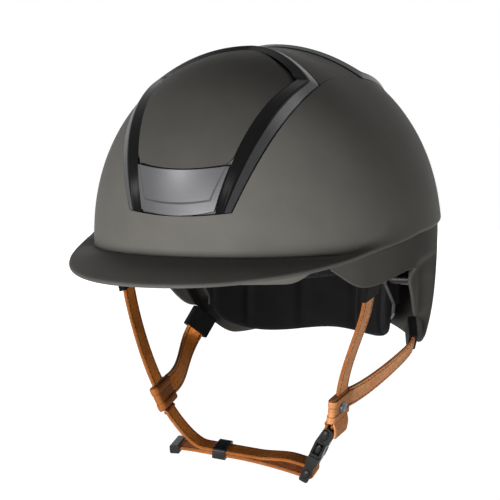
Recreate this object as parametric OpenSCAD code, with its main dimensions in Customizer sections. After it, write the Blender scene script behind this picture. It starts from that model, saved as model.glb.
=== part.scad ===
// Riding helmet with a two-frame crown, a flared peak, a leather harness and a sprung nape cradle.
// Millimetres. The origin is the centre of the head opening at the widest line of the shell.
// The peak points to -Y, the wearer's left is +X and +Z is up.

/* [Shell] */
// Width of the outer shell at its widest line
shell_w = 224; // [200:1:250]
// Reach of the outer shell in front of the origin
shell_front = 136; // [120:1:150]
// Reach of the outer shell behind the origin
shell_rear = 139.5; // [120:1:155]
// Height of the crown above the origin
shell_h = 124.5; // [105:0.5:140]
// Depth that sets how fast the wall draws in below the widest line
shell_low = 215; // [170:1:260]
// Wall of the outer shell
shell_wall = 4; // [3:0.1:6]
// Depth of the seat that holds the frames and panels
seat_depth = 2.5; // [2:0.1:2.8]
// Gap between neighbouring fixed pieces
fit_gap = 0.3; // [0.2:0.05:0.5]

/* [Peak and rim] */
// Reach of the peak edge in front of the origin
peak_reach = 179; // [155:1:195]
// Half width of the rim edge beside the ears
rim_half_w = 114; // [112:0.5:120]
// Height of the rim edge above the origin beside the ears
rim_rise = 3.9; // [0:0.1:6]
// Height of the crease where the peak leaves the shell
crease_z = -8; // [-14:0.5:-3]
// Thickness of the peak and rim edge
peak_t = 2.6; // [2:0.1:4]
// Height of the forehead edge of the shell behind the peak
forehead_z = -25; // [-34:1:-22]

/* [Frames and panels] */
// Height of the frame crest above the shell surface
frame_crest = 2; // [1:0.1:3]
// Depth of the frame edge next to a panel below the shell surface
frame_inner_drop = 0.5; // [0.2:0.1:1]
// Depth of the panel faces below the shell surface
panel_drop = 0.4; // [0.2:0.1:1]
// Height of the raised field on the front plate
plate_raise = 0.8; // [0.4:0.1:1.2]
// Number of louvre blades in the exhaust grille
louvres = 5; // [3:1:7]
// Thickness of a louvre blade
louvre_t = 1.6; // [1.2:0.1:2.4]

/* [Lower shell] */
// Step from the rim edge in to the lower shell
lower_step = 2.2; // [1.5:0.1:3.5]
// Wall of the lower shell
lower_wall = 2.6; // [2:0.1:4]
// Lowest point of the temple lobe
temple_z = -29.5; // [-36:0.5:-26]
// Top of the ear cut-out
ear_z = -21; // [-24:1:-16]
// Lowest point of the nape lobe
lobe_z = -81.5; // [-86:0.5:-74]
// Lower edge at the back of the neck
nape_z = -67; // [-74:1:-58]
// Depth of the scoop behind the ear
scoop_depth = 10; // [4:0.5:11]

/* [Liner and pads] */
// Thickness of the foam liner
liner_t = 21; // [16:1:26]
// Thickness of the comfort pads
pad_t = 7.5; // [5:0.5:10]
// Thickness of the nape pad
nape_pad_t = 10; // [7:0.5:13]
// Wall of the nape cradle
cradle_t = 2.4; // [2:0.1:3.5]
// Free space between the liner and the nape cradle
cradle_space = 4; // [3:0.5:6]
// Diameter of a cradle pivot pin
pin_d = 5; // [4:0.5:6]

/* [Harness] */
// Width of the leather straps
strap_w = 15; // [13:0.5:20]
// Thickness of the leather straps
strap_t = 2.2; // [1.8:0.1:3]
// Width of a leather divider
divider_w = 23; // [21:0.5:30]
// Height of a leather divider
divider_h = 17; // [14:0.5:22]
// Thickness of a leather divider
divider_t = 6; // [5:0.5:10]
// Diameter of a press stud cap
stud_d = 7.6; // [6:0.2:10]
// Length of the keeper loop along the strap
keeper_len = 9; // [7:0.5:13]
// Wall of the keeper, the end clip and the rear guides
loop_wall = 1.6; // [1.3:0.1:2.4]
// Wall of the rubber sleeves over the faces of the front straps
sleeve_wall = 0.9; // [0.7:0.1:1.6]
// Wall of the sleeves and rear guides beside the strap edges
side_wall_w = 2.3; // [1.5:0.1:4]

/* [Buckle] */
// Width of the buckle
buckle_w = 24.5; // [22:0.5:30]
// Thickness of the buckle
buckle_t = 8.2; // [7.5:0.1:10]
// Length of the buckle socket
socket_len = 23.7; // [22:0.1:30]
// Length of the plug prongs beyond the plug block
prong_len = 11.3; // [10:0.1:13]
// Diameter of the strap bars
bar_d = 4.6; // [3.6:0.1:5]
// Running clearance between the plug and the socket
buckle_gap = 0.6; // [0.4:0.05:0.9]

/* [Hidden] */
// Shape of the dome: roundness of the plan, and of the side, front and rear profiles
plan_power = 2.02;
side_power = 1.86;
front_power = 2.5;
rear_power = 2.38;
half_w = shell_w / 2;

// Frame outline in degrees: across from the middle plane, and along from the front over the crown
plate_th = 7.4;
plate_corner_th = 9;
panel_th = 19.8;
panel_corner_th = 22;
corner_th = 65;
bar_mid_th = 80;
bar_width_th = 4.6;
rear_bar_mid_th = 92;
rear_corner_th = 104;
rear_panel_th = 118;
rear_end_th = 160;
rear_end_mid_th = 163;
frame_lo = 15.9;
frame_hi = 28.5;
frame_rear_lo = 14;
inner_lo = 11.2;
inner_hi = 22.8;
rear_band = 5;
side_curve = 1.7;
bar_curve = 1.3;

// Rim: plan of the peak edge, and how its height follows the plan
peak_power = 2.1;
rim_slope = 0.168;
rim_dip = 0.00035;
rim_bow = 0.00119;
rim_rear_slope = 0.06;
rim_arch = 1.4;
rim_arch_a = 58;
rim_arch_w = 14;
peak_seam_a = 46;
peak_end_a = 61;
crease_fade_a = 72;
rim_lip = 15;
rim_flush_a = 104;
rim_proud = 0.4;
flare_bow = 9;
forehead_a = 31;
forehead_end_a = 42;
peak_root_t = 5;
plate_face = 0.2;
seat_clearance = 0.8;
frame_outer_face = 0.3;
bridge_drop = 0.2;
channel_depth = 0.45;
crown_pad_deg = 44;
front_pad_top = 6;
side_pad_top = 26;
pin_play = 0.3;

// Lower shell outline, in degrees round from the front
lower_start_a = 45.5;
temple_a = 59;
ear_a = 88;
lobe_a = 142;
scoop_a = 111;
scoop_rake = 0.35;
notch_a = 122;
notch_z = -59;

// Nape cradle
cradle_a = 124;
cradle_top_z = -26;
cradle_low_z = -68;
pivot_a = 113;
pivot_z = -33;
arm_out = 0.9;
arm_boss_r = 7;
pin_head_d = 9;
boss_d = 8;

// Harness
hinge = [-56, -39.2, -120.7];
plane_turn = 9;
plane_tilt = 13.5;
buckle_tilt = 62.4;
buckle_at = [100.6, -31.5];
right_divider = [-61.8, -38, -111];
left_divider = [64.2, -27.5, -113];
divider_rake = 17;
right_lean = -19;
left_lean = 14;
sleeve_at = [half_w - 18.3, -35.3];
sleeve_a = atan2(sleeve_at.x, -sleeve_at.y);
sleeve_h = 21;
sleeve_slant = 5;
sleeve_lean = 12;
guide_at = [half_w - 30, shell_rear - 84.5, lobe_z + 9.6];
guide_tilt = 35;
guide_turn = 31;
guide_h = 15;
keeper_u = 35.8;
layer_gap = 0.35;
socket_foot = 6.8;
bar_offset = 8.6;
stud_t = 1.6;
tail_end = [6.8, -26];

// Helpers

function unit(v) = v / norm(v);
function mix(a, b, t) = a + (b - a) * t;
function clamp01(t) = max(0, min(1, t));
function ease(t) = let (c = clamp01(t)) c * c * (3 - 2 * c);
function step_to(a, a0, z0, a1, z1) = mix(z0, z1, ease((a - a0) / (a1 - a0)));
function flip_x(p) = [-p.x, p.y, p.z];
function rev(l) = [for (i = [len(l) - 1:-1:0]) l[i]];
// Direction by azimuth from the front and elevation, and by angle across and along the crown
function round_dir(a, e) = [sin(a) * cos(e), -cos(a) * cos(e), sin(e)];
function over_dir(ph, th) = [sin(ph), -cos(ph) * cos(th), cos(ph) * sin(th)];

// Distance from the origin to the shell surface along a direction
function dome_r(d) =
    let (
        x = abs(d.x), y = abs(d.y), z = abs(d.z),
        reach = d.y < 0 ? shell_front : shell_rear,
        rise = d.z < 0 ? shell_low : shell_h,
        flat = x * x + y * y,
        share = flat < 1e-9 ? 0 : y * y / flat,
        m = side_power * (1 - share) + (d.y < 0 ? front_power : rear_power) * share,
        plan = pow(pow(x / half_w, plan_power) + pow(y / reach, plan_power), m / plan_power)
    )
    pow(plan + pow(z / rise, m), -1 / m);
function dome(d, off = 0) = let (u = unit(d)) u * (dome_r(u) + off);
function over(ph, th, off = 0) = dome(over_dir(ph, th), off);

// Shell point at an azimuth and a height
function elev(a, z, off, n = 5) =
    n == 0 ? 0 : let (e = elev(a, z, off, n - 1)) asin(z / (dome_r(round_dir(a, e)) + off));
function wall_at(a, z, off = 0) = dome(round_dir(a, elev(a, z, off)), off);

// Solid through equal closed sections: a ring when closed, else capped by pairing the ends
module loft(s, closed = false) {
    n = len(s);
    m = len(s[0]);
    pts = [for (r = s) for (p = r) p];
    last = closed ? n - 1 : n - 2;
    sides = [for (i = [0:last]) for (j = [0:m - 1])
        let (a = i * m + j, b = i * m + (j + 1) % m, k = (i + 1) % n, c = k * m + (j + 1) % m, d = k * m + j)
        each [[a, b, c], [a, c, d]]];
    caps = closed ? [] : [for (e = [0, n - 1]) for (j = [0:m / 2 - 2])
        let (a = e * m + j, b = e * m + j + 1, c = e * m + m - 2 - j, d = e * m + m - 1 - j)
        each (e == 0 ? [[a, c, b], [a, d, c]] : [[a, b, c], [a, c, d]])];
    solid(pts, concat(sides, caps));
}

// Closed dome through spokes, each from the outer pole round the edge to the inner pole
module cup(s, outer_pole, inner_pole) {
    n = len(s);
    m = len(s[0]);
    pts = concat([for (r = s) for (p = r) p], [outer_pole, inner_pole]);
    sides = [for (i = [0:n - 1]) for (j = [0:m - 2])
        let (k = (i + 1) % n, a = i * m + j, b = a + 1, c = k * m + j + 1, d = k * m + j)
        each [[a, b, c], [a, c, d]]];
    poles = [for (i = [0:n - 1])
        let (k = (i + 1) % n)
        each [[n * m, i * m, k * m], [n * m + 1, k * m + m - 1, i * m + m - 1]]];
    solid(pts, concat(sides, poles));
}

// Polyhedron whose faces are turned to point outward
module solid(pts, faces) {
    six_volumes = sum_signed(pts, faces);
    polyhedron(pts, six_volumes < 0 ? faces : [for (f = faces) rev(f)]);
}
function sum_signed(pts, faces) =
    [for (i = 0, v = 0; i <= len(faces); v = v + (i < len(faces) ? pts[faces[i][0]]
        * cross(pts[faces[i][1]], pts[faces[i][2]]) : 0), i = i + 1) v][len(faces)];

// Loft section from a top row and a bottom row of points
function sheet(top, low) = concat(top, rev(low));

// Crown outline

gap_deg = fit_gap / half_w * 180 / PI;
function frame_out(th) =
    th <= corner_th
        ? frame_lo + (frame_hi - frame_lo)
            * (1 - pow(1 - clamp01((th - plate_corner_th) / (corner_th - plate_corner_th)), side_curve))
        : th <= rear_corner_th
            ? frame_hi
            : frame_rear_lo + (frame_hi - frame_rear_lo)
                * (1 - pow(1 - clamp01((rear_end_th - th) / (rear_end_th - rear_corner_th)), side_curve));
function frame_in(th) =
    inner_lo + (inner_hi - inner_lo) * clamp01((th - plate_corner_th) / (corner_th - 4 - plate_corner_th));
function bar_th(u) = mix(bar_mid_th, corner_th, pow(abs(u), bar_curve));
function rear_bar_th(u) = mix(rear_bar_mid_th, rear_corner_th, pow(abs(u), bar_curve));
function plate_low_th(u) = mix(plate_th, plate_corner_th, u * u);
function plate_top_th(u) = mix(panel_th, panel_corner_th, u * u);
function rear_low_th(u) = mix(rear_end_mid_th, rear_end_th, u * u);

// Rim outline

function rim_plan(a) =
    let (
        s = abs(sin(a)), c = abs(cos(a)),
        reach = cos(a) > 0 ? peak_reach : shell_rear,
        p = cos(a) > 0 ? peak_power : plan_power
    )
    pow(pow(s / rim_half_w, p) + pow(c / reach, p), -1 / p);
function rim_height(a) =
    let (r = rim_plan(a), x = r * sin(a), y = -r * cos(a))
    rim_rise + rim_arch * exp(-pow((abs(a) - rim_arch_a) / rim_arch_w, 2)) + (y < 0
        ? rim_slope * y - rim_dip * y * y + rim_bow * (rim_half_w * rim_half_w - x * x)
        : rim_rear_slope * y);
function rim_point(a) =
    let (
        z = rim_height(a),
        flush = wall_at(a, z, rim_proud),
        share = ease((abs(a) - peak_end_a) / (rim_flush_a - peak_end_a)),
        r = mix(rim_plan(a), norm([flush.x, flush.y]), share)
    )
    [r * sin(a), -r * cos(a), z];
function crease_height(a) =
    let (t = ease((abs(a) - peak_seam_a) / (crease_fade_a - peak_seam_a)))
    abs(a) < peak_seam_a ? crease_z : mix(crease_z, rim_height(a) + rim_lip, t);
function crease_point(a, off = 0) = wall_at(a, crease_height(a), off);

// Flared surface from the crease (w = 0) to the rim edge (w = 1): the peak's top, then a soft lip
function flare(a, w) =
    let (
        c = crease_point(a),
        e = rim_point(a),
        soft = ease((abs(a) - peak_seam_a + 6) / (peak_end_a - peak_seam_a + 8)),
        flat = mix(c, e, w) + [0, 0, flare_bow * norm(e - c) / peak_reach * sin(180 * w)],
        lip = wall_at(a, mix(c.z, e.z, w)) + (e - wall_at(a, e.z)) * w * w
    )
    mix(flat, lip, soft);
// Outward normal of the flared surface
function flare_n(a, w) = unit(cross(flare(a, w + 0.02) - flare(a, w - 0.02), [cos(a), sin(a), 0]));
function under(a, w, t) = mix(flare(a, w) - flare_n(a, w) * t, flare(a, w) - [0, 0, t], pow(w, 6));
function seam(a) = clamp01((abs(a) - peak_seam_a) / (peak_end_a - peak_seam_a));

// Outer shell

front_spokes = 4;
front_fan_a = 20;
spoke_step = front_fan_a / front_spokes;
spoke_n = (180 - 2 * front_fan_a) / spoke_step;
shell_rows = 10;
shell_inner_rows = 8;
shell_half = concat(
    [for (i = [0:front_spokes - 1]) let (u = i / front_spokes) [u * frame_lo, plate_low_th(u), i * spoke_step]],
    [for (i = [0:spoke_n]) let (th = mix(plate_corner_th, rear_end_th, i / spoke_n))
        [frame_out(th), th, front_fan_a + i * spoke_step]],
    [for (i = [1:front_spokes]) let (u = 1 - i / front_spokes)
        [u * frame_rear_lo, rear_low_th(u), 180 - u * front_fan_a]]
);
// Share of a spoke that runs on the flare, where the peak has ended
flare_share = 0.3;
function shell_spoke(ph, th, a) =
    let (
        b = over_dir(ph, th),
        c = unit(crease_point(a)),
        s = seam(a),
        drop = ease((abs(a) - forehead_a) / (forehead_end_a - forehead_a)),
        foot_z = mix(forehead_z, rim_height(a) - peak_t, drop),
        tuck = mix(wall_at(a, crease_z - 2 * fit_gap, -fit_gap), under(a, s, peak_t), clamp01(4 * s)),
        foot = wall_at(a, foot_z, -mix(fit_gap, lower_step * 0.7, drop)),
        inner_foot = wall_at(a, foot_z, -shell_wall)
    )
    concat(
        [for (i = [0:shell_rows])
            let (p = (1 + flare_share * s) * i / shell_rows)
            p <= 1 ? dome(mix(b, c, p)) : flare(a, (p - 1) / flare_share)],
        [tuck, foot, inner_foot],
        [for (i = [shell_inner_rows - 1:-1:0])
            dome(mix(b, unit(inner_foot), i / shell_inner_rows), -shell_wall)]
    );
module outer_shell() {
    half = [for (k = shell_half) shell_spoke(k[0], k[1], k[2])];
    n = len(half);
    other = [for (i = [n - 2:-1:1]) [for (p = half[i]) flip_x(p)]];
    color("dimgray") loft(concat(half, other), closed = true);
}

// Peak

module peak() {
    last = floor(peak_end_a / spoke_step);
    color("dimgray") loft([for (i = [-last:last])
        let (
            a = i * spoke_step,
            edge = rim_point(a),
            w0 = seam(a) + 2 * fit_gap / norm(edge - crease_point(a)),
            w = [w0, mix(w0, 1, 0.33), mix(w0, 1, 0.66), mix(w0, 1, 0.95)],
            root = mix(peak_root_t, peak_t * 0.8, clamp01(3 * seam(a))),
            round_in = peak_t / 4
        )
        sheet(
            concat([for (k = w) flare(a, k)], [edge - [0, 0, round_in]]),
            concat([for (j = [0:3]) under(a, w[j], mix(root, peak_t, sqrt(j / 3)))],
                [edge - [0, 0, peak_t - round_in]])
        )]);
}

// Crown seat, panels and frames

panel_cols = [-1, -0.75, -0.5, -0.25, 0, 0.25, 0.5, 0.75, 1];
piece_floor = -(seat_depth - seat_clearance);
// One row of shell points across the crown at the angle th(u), its ends inside the frame outline
function row(cols, th, half, off) = [for (i = [0:len(cols) - 1]) over(cols[i] * half, th[i], off[i])];
function same(v, n) = [for (i = [1:n]) v];
module crown_seat() {
    n = len(panel_cols);
    front = [for (v = [0:0.125:1])
        [[for (u = panel_cols) mix(plate_low_th(u) + gap_deg, bar_th(u), v)], -seat_depth]];
    bridge = [for (v = [0.02, 0.35, 0.65, 0.98])
        [[for (u = panel_cols) mix(bar_th(u), rear_bar_th(u), v)], -bridge_drop]];
    rear = [for (v = [0, 0.33, 0.67, 1])
        [[for (u = panel_cols) mix(rear_bar_th(u), rear_panel_th, v)], -seat_depth]];
    color("dimgray") loft([for (r = concat(front, bridge, rear))
        let (half = frame_out(r[0][0]) - gap_deg)
        sheet(row(panel_cols, r[0], half, same(r[1], n)), row(panel_cols, r[0], half, same(-shell_wall, n)))]);
}
module front_panel() {
    n = len(panel_cols);
    color("dimgray") loft([for (v = [0, 0.03, 0.08, 0.2, 0.34, 0.48, 0.62, 0.76, 0.88, 0.95, 1])
        let (
            th = [for (u = panel_cols)
                mix(plate_top_th(u) + 2 * gap_deg, bar_th(u) - bar_width_th - gap_deg, v)],
            nip = 1 - 0.09 * pow(clamp01(1 - v / 0.08), 2) - 0.14 * pow(clamp01((v - 0.86) / 0.14), 2),
            half = (frame_in(th[0]) - gap_deg) * nip
        )
        sheet(row(panel_cols, th, half, same(-panel_drop, n)), row(panel_cols, th, half, same(piece_floor, n)))]);
}
// Plate with a raised field that narrows towards its lower edge
module front_plate() {
    color("slategray") loft([for (v = [0, 0.25, 0.29, 0.5, 0.75, 1])
        let (
            field = mix(0.76, 0.93, v),
            cols = [-1, -field - 0.04, -field, -0.4, 0, 0.4, field, field + 0.04, 1],
            th = [for (u = cols) mix(plate_low_th(u) + gap_deg, plate_top_th(u) - gap_deg, v)],
            half = frame_in(th[0]) - gap_deg,
            low = plate_face,
            high = v > 0.27 ? plate_face + plate_raise : plate_face
        )
        sheet(row(cols, th, half, [low, low, high, high, high, high, high, low, low]),
            row(cols, th, half, same(piece_floor, 9)))]);
}
// Frame section between an inner and an outer direction: [across, along] in degrees
function frame_section(i, o, crest_share) =
    let (a = over_dir(i[0], i[1]), b = over_dir(o[0], o[1]), c = mix(a, b, crest_share))
    [dome(a, piece_floor), dome(a, -frame_inner_drop), dome(c, frame_crest),
        dome(b, frame_outer_face), dome(b, piece_floor), dome(c, piece_floor)];
function mirrored(l) = concat(l, [for (i = [len(l) - 2:-1:0]) [for (p = l[i]) [-p[0], p[1]]]]);
module frame_loft(stations) {
    color("black") loft([for (s = mirrored(stations)) frame_section(s[0], s[1], 0.5)]);
}
module front_frame() {
    g = gap_deg;
    frame_loft(concat(
        [[[inner_lo, plate_low_th(inner_lo / frame_lo) + g], [frame_lo - g, plate_corner_th + g]]],
        [for (i = [1:9]) let (th = mix(plate_corner_th, corner_th - 8, i / 9))
            [[frame_in(th), th], [frame_out(th) - g, th]]],
        [[[inner_hi - 0.6, corner_th - 4.6], [frame_hi - g, corner_th - 2.6]],
            [[inner_hi - 1.8, corner_th - 3.9], [frame_hi - 0.5, corner_th - g]]],
        [for (u = [0.84, 0.6, 0.36, 0.16, 0])
            [[u * inner_hi, bar_th(u) - bar_width_th], [u * frame_hi, bar_th(u) - g]]]
    ));
}
module rear_frame() {
    g = gap_deg;
    frame_loft(concat(
        [for (i = [0:9]) let (th = mix(rear_end_th - 0.5, rear_corner_th + 7, i / 9))
            [[frame_out(th) - rear_band, th], [frame_out(th) - g, th]]],
        [[[frame_hi - rear_band - 0.8, rear_corner_th + 4.6], [frame_hi - g, rear_corner_th + 2.6]],
            [[frame_hi - rear_band - 2, rear_corner_th + 3.9], [frame_hi - 0.5, rear_corner_th + g]]],
        [for (u = [0.84, 0.6, 0.36, 0.16, 0])
            [[u * (frame_hi - rear_band), rear_bar_th(u) + bar_width_th], [u * frame_hi, rear_bar_th(u) + g]]]
    ));
}
// Rear panel: a ring round the exhaust window, both outlines from one square path
window_u = 0.62;
window_v = [0.4, 0.78];
function square_path(n) = [for (i = [0:4 * n - 1])
    let (s = floor(i / n), t = 2 * (i % n) / n - 1)
    s == 0 ? [t, -1] : s == 1 ? [1, t] : s == 2 ? [-t, 1] : [-1, -t]];
function rear_point(u, v, off) =
    let (
        th = mix(rear_bar_th(u) + bar_width_th + 5 * gap_deg, rear_low_th(u) - gap_deg, v),
        edge_th = mix(rear_bar_th(1) + bar_width_th + gap_deg, rear_end_th - gap_deg, v)
    )
    over(u * (frame_out(edge_th) - rear_band - gap_deg), th, off);
function ring_section(q, inner, outer, face, floor_off, n) =
    let (
        at = function (k) [q[0] * k[0], mix(k[1][0], k[1][1], (q[1] + 1) / 2)],
        cut = [for (i = [0:n]) mix(at(inner), at(outer), i / n)]
    )
    sheet([for (c = cut) rear_point(c[0], c[1], face)], [for (c = cut) rear_point(c[0], c[1], floor_off)]);
module rear_panel() {
    color("dimgray") loft([for (q = square_path(7))
        ring_section(q, [window_u, window_v], [1, [0, 1]], -panel_drop, piece_floor, 4)], closed = true);
}
// Grille: a rim under the window edge and tilted louvre blades across it
module rear_grille() {
    rim = [window_u + 0.08, [window_v[0] - 0.05, window_v[1] + 0.05]];
    top = piece_floor - seat_clearance;
    base = -shell_wall;
    color("black") loft([for (q = square_path(6))
        ring_section(q, [window_u, window_v], rim, top, base, 1)], closed = true);
    pitch = (window_v[1] - window_v[0]) / louvres;
    color("black") for (k = [0:louvres - 1]) {
        v = window_v[0] + (k + 0.35) * pitch;
        loft([for (i = [0:6])
            let (u = mix(-1, 1, i / 6) * (window_u - 0.004), lip = louvre_t / 160)
            [rear_point(u, v, -panel_drop - 0.4), rear_point(u, v + lip, -panel_drop - 0.4),
                rear_point(u, v + lip + pitch * 0.45, base), rear_point(u, v + pitch * 0.45, base)]]);
    }
}

// Lower shell

function scoop(a, z) =
    let (b = abs(a), rear = scoop_a + scoop_rake * max(0, -z - 30))
    scoop_depth * ease((b - ear_a) / 14) * (1 - ease((b - rear) / 8)) * ease((-13 - z) / 14);
function lower_edge(a) =
    let (b = abs(a))
    b < temple_a ? step_to(b, lower_start_a - 7.5, temple_z + 17.5, temple_a, temple_z)
        : b < ear_a ? step_to(b, temple_a, temple_z, ear_a, ear_z)
        : b < notch_a ? step_to(b, ear_a, ear_z, notch_a, notch_z)
        : b < lobe_a ? step_to(b, notch_a - 1, notch_z, lobe_a, lobe_z)
        : step_to(b, lobe_a, lobe_z, 180, nape_z);
function lower_top(a) = rim_height(a) - peak_t - fit_gap;
function lower_point(a, z, depth) = wall_at(a, z, -lower_step - depth - scoop(a, z));
function steps(a, b, n) = [for (i = [0:n - 1]) mix(a, b, i / n)];
lower_cols = concat(steps(lower_start_a, temple_a, 5), steps(temple_a, ear_a, 6), steps(ear_a, scoop_a, 7),
    steps(scoop_a, notch_a + 2, 5), steps(notch_a + 2, lobe_a, 5), steps(lobe_a, 180, 6), [180]);
lower_rows = 9;
module lower_shell() {
    half = [for (a = lower_cols)
        let (top = lower_top(a), low = lower_edge(a))
        sheet([for (j = [0:lower_rows]) lower_point(a, mix(top, low, j / lower_rows), 0)],
            [for (j = [0:lower_rows]) lower_point(a, mix(top, low, j / lower_rows), lower_wall)])];
    other = [for (i = [len(half) - 2:-1:0]) [for (p = half[i]) flip_x(p)]];
    color("dimgray") loft(concat(half, other));
}

// Liner and pads

liner_out = -(lower_step + lower_wall + seat_clearance);
liner_top = -(shell_wall + seat_clearance + fit_gap);
liner_in = liner_top - liner_t;
liner_n = 48;
liner_split = 34;
function liner_edge(a) =
    let (b = abs(a > 180 ? a - 360 : a))
    b < temple_a ? step_to(b, forehead_a, forehead_z + 2.5, temple_a, temple_z + 9)
        : b < ear_a ? step_to(b, temple_a, temple_z + 9, ear_a, ear_z + 4)
        : b < cradle_a ? step_to(b, ear_a, ear_z + 4, cradle_a, ear_z - 1)
        : step_to(b, cradle_a, ear_z - 1, 180, nape_z + 25);
function liner_skin(b, e) =
    let (p = dome(round_dir(b, e), liner_out))
    dome(round_dir(b, e), (p.z > 15 ? liner_top : liner_out) - scoop(b, p.z));
function liner_azimuth(i) = let (a = 360 * i / liner_n) a > 180 ? a - 360 : a;
// Crown of the liner, and the ring below it that ends at the head opening
module liner_upper() {
    rows = 9;
    z = liner_split + fit_gap / 2;
    color("black") cup([for (i = [0:liner_n - 1])
        let (b = liner_azimuth(i))
        concat(
            [for (j = [1:rows]) dome(round_dir(b, mix(90, elev(b, z, liner_top), j / rows)), liner_top)],
            [for (j = [rows:-1:1]) dome(round_dir(b, mix(90, elev(b, z, liner_in), j / rows)), liner_in)]
        )],
        dome([0, 0, 1], liner_top), dome([0, 0, 1], liner_in));
}
module liner_lower() {
    rows = 7;
    top = liner_split - fit_gap / 2;
    color("black") loft([for (i = [0:liner_n - 1])
        let (b = liner_azimuth(i), low = liner_edge(b))
        concat(
            [for (j = [0:rows]) liner_skin(b, mix(elev(b, top, liner_top), elev(b, low, liner_out), j / rows))],
            [for (j = [rows:-1:0])
                dome(round_dir(b, mix(elev(b, top, liner_in), elev(b, low, liner_in), j / rows)), liner_in)]
        )], closed = true);
}
// Share of the full thickness across a cushion: crowned, drawn in at its edges and at its channels
function crown(t) = pow(max(0, 1 - pow(abs(2 * t - 1), 3)), 0.5);
function channel(u, at, w) = 1 - channel_depth * max([for (c = at) exp(-pow((u - c) / w, 2))]);
function plump(u, v, at, w) = mix(0.3, 1, crown(u) * crown(v)) * channel(u, at, w);
// Cushion on the inside of the liner or cradle, from azimuth a0 to a1, between two heights
module cushion(a0, a1, low, high, back, t, cols, rows, channels, channel_w) {
    loft([for (i = [0:cols])
        let (u = i / cols, a = mix(a0, a1, u), z0 = low(a), z1 = high(a))
        sheet(
            [for (j = [0:rows]) wall_at(a, mix(z0, z1, j / rows), back)],
            [for (j = [0:rows]) wall_at(a, mix(z0, z1, mix(0.02, 0.98, j / rows)),
                back - t * plump(u, j / rows, channels, channel_w))]
        )]);
}
pad_back = liner_in - seat_clearance;
module crown_pad() {
    n = 36;
    shares = [0.3, 0.55, 0.78, 0.92, 1];
    color("dimgray") cup([for (i = [0:n - 1])
        let (
            a = 360 * i / n,
            reach = crown_pad_deg * (1 + 0.08 * cos(4 * a)),
            fold = 1 - channel_depth * exp(-pow(sin(2 * a + 90) / 0.45, 2))
        )
        concat(
            [for (w = shares) dome(round_dir(a, 90 - w * reach), pad_back)],
            [for (k = [len(shares) - 1:-1:0])
                let (w = shares[k])
                dome(round_dir(a, 90 - w * reach * 0.99),
                    pad_back - pad_t * mix(0.3, 1, sqrt(1 - pow(w, 4))) * mix(1, fold, w))]
        )],
        dome([0, 0, 1], pad_back), dome([0, 0, 1], pad_back - pad_t));
}
module front_pad() {
    color("dimgray") cushion(-46, 46, function (a) liner_edge(a) + 1, function (a) front_pad_top,
        pad_back, pad_t, 30, 6, [0.2, 0.4, 0.6, 0.8], 0.025);
}
module side_pad(side) {
    color("dimgray") cushion(side * 58, side * 98, function (a) liner_edge(a) + 2, function (a) side_pad_top,
        pad_back, pad_t, 16, 6, [0.33, 0.67], 0.04);
}
nape_back = liner_in - cradle_space - cradle_t - 2 * fit_gap;
function nape_low(a) = let (b = abs(180 - a)) mix(nape_z - 9, lobe_z + 0.5, ease(b / 32)) + 9 * ease((b - 34) / 22);
module nape_pad() {
    color("dimgray") cushion(126, 234, function (a) nape_low(a), function (a) cradle_top_z - 1,
        nape_back, nape_pad_t, 40, 7, [18 / 108, 42 / 108, 66 / 108, 90 / 108], 0.018);
}

// Nape cradle

pin_seat = lower_point(pivot_a, pivot_z, lower_wall);
arm_x = wall_at(cradle_a + 2, cradle_top_z - 14, liner_in - cradle_space).x + arm_out;
arm_in = arm_x - cradle_t;
module cradle_band() {
    n = 20;
    rows = 3;
    face = liner_in - cradle_space;
    loft([for (i = [0:n])
        let (
            a = mix(cradle_a, 360 - cradle_a, i / n),
            end = ease(abs(2 * i / n - 1) * 2 - 1),
            top = cradle_top_z - 6 * end,
            low = cradle_low_z + 10 * end
        )
        sheet([for (j = [0:rows]) wall_at(a, mix(top, low, j / rows), face)],
            [for (j = [0:rows]) wall_at(a, mix(top, low, j / rows), face - cradle_t)])]);
}
module cradle_arm() {
    translate([arm_in, 0, 0]) rotate([90, 0, 90]) linear_extrude(cradle_t) difference() {
        union() {
            translate([pin_seat.y, pin_seat.z]) circle(r = arm_boss_r, $fn = 48);
            polygon([[pin_seat.y + 2, pin_seat.z + arm_boss_r - 0.6], [pin_seat.y + 16, pin_seat.z - 3],
                [pin_seat.y + 16, pin_seat.z - 19], [pin_seat.y + 9, pin_seat.z - 19],
                [pin_seat.y - 4, pin_seat.z - 5.6]]);
        }
        translate([pin_seat.y, pin_seat.z]) circle(d = pin_d + pin_play, $fn = 48);
    }
}
module nape_cradle() {
    color("black") {
        cradle_band();
        cradle_arm();
        mirror([1, 0, 0]) cradle_arm();
    }
}
// Pin with a head inside the arm and a boss that reaches the lower shell
module pivot_pin() {
    reach = pin_seat.x - boss_d * 0.16;
    color("silver") translate([0, pin_seat.y, pin_seat.z]) rotate([0, 90, 0]) {
        translate([0, 0, arm_in - fit_gap - 1.8]) cylinder(d = pin_head_d, h = 1.8, $fn = 48);
        translate([0, 0, arm_in - fit_gap - 0.9]) cylinder(d = pin_d, h = reach - arm_in + fit_gap + 0.9, $fn = 48);
        translate([0, 0, arm_x + fit_gap]) cylinder(d = boss_d, h = reach - arm_x - fit_gap, $fn = 48);
    }
}

// Side straps

function bezier(p, t) =
    let (s = 1 - t) p[0] * s * s * s + p[1] * 3 * s * s * t + p[2] * 3 * s * t * t + p[3] * t * t * t;
function curve(p, n) = [for (i = [0:n]) bezier(p, i / n)];
// Flat band along a path, its face square to the normal given for each point
module band(path, normals) {
    n = len(path) - 1;
    loft([for (i = [0:n])
        let (
            t = unit(path[min(i + 1, n)] - path[max(i - 1, 0)]),
            w = unit(cross(t, normals[i])) * strap_w / 2,
            f = unit(cross(w, t)) * strap_t / 2
        )
        [path[i] + f + w, path[i] + f - w, path[i] - f - w, path[i] - f + w]]);
}
function turned(n0, n1, n, early) = [for (i = [0:n]) mix(n0, n1, pow(i / n, early))];
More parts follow.
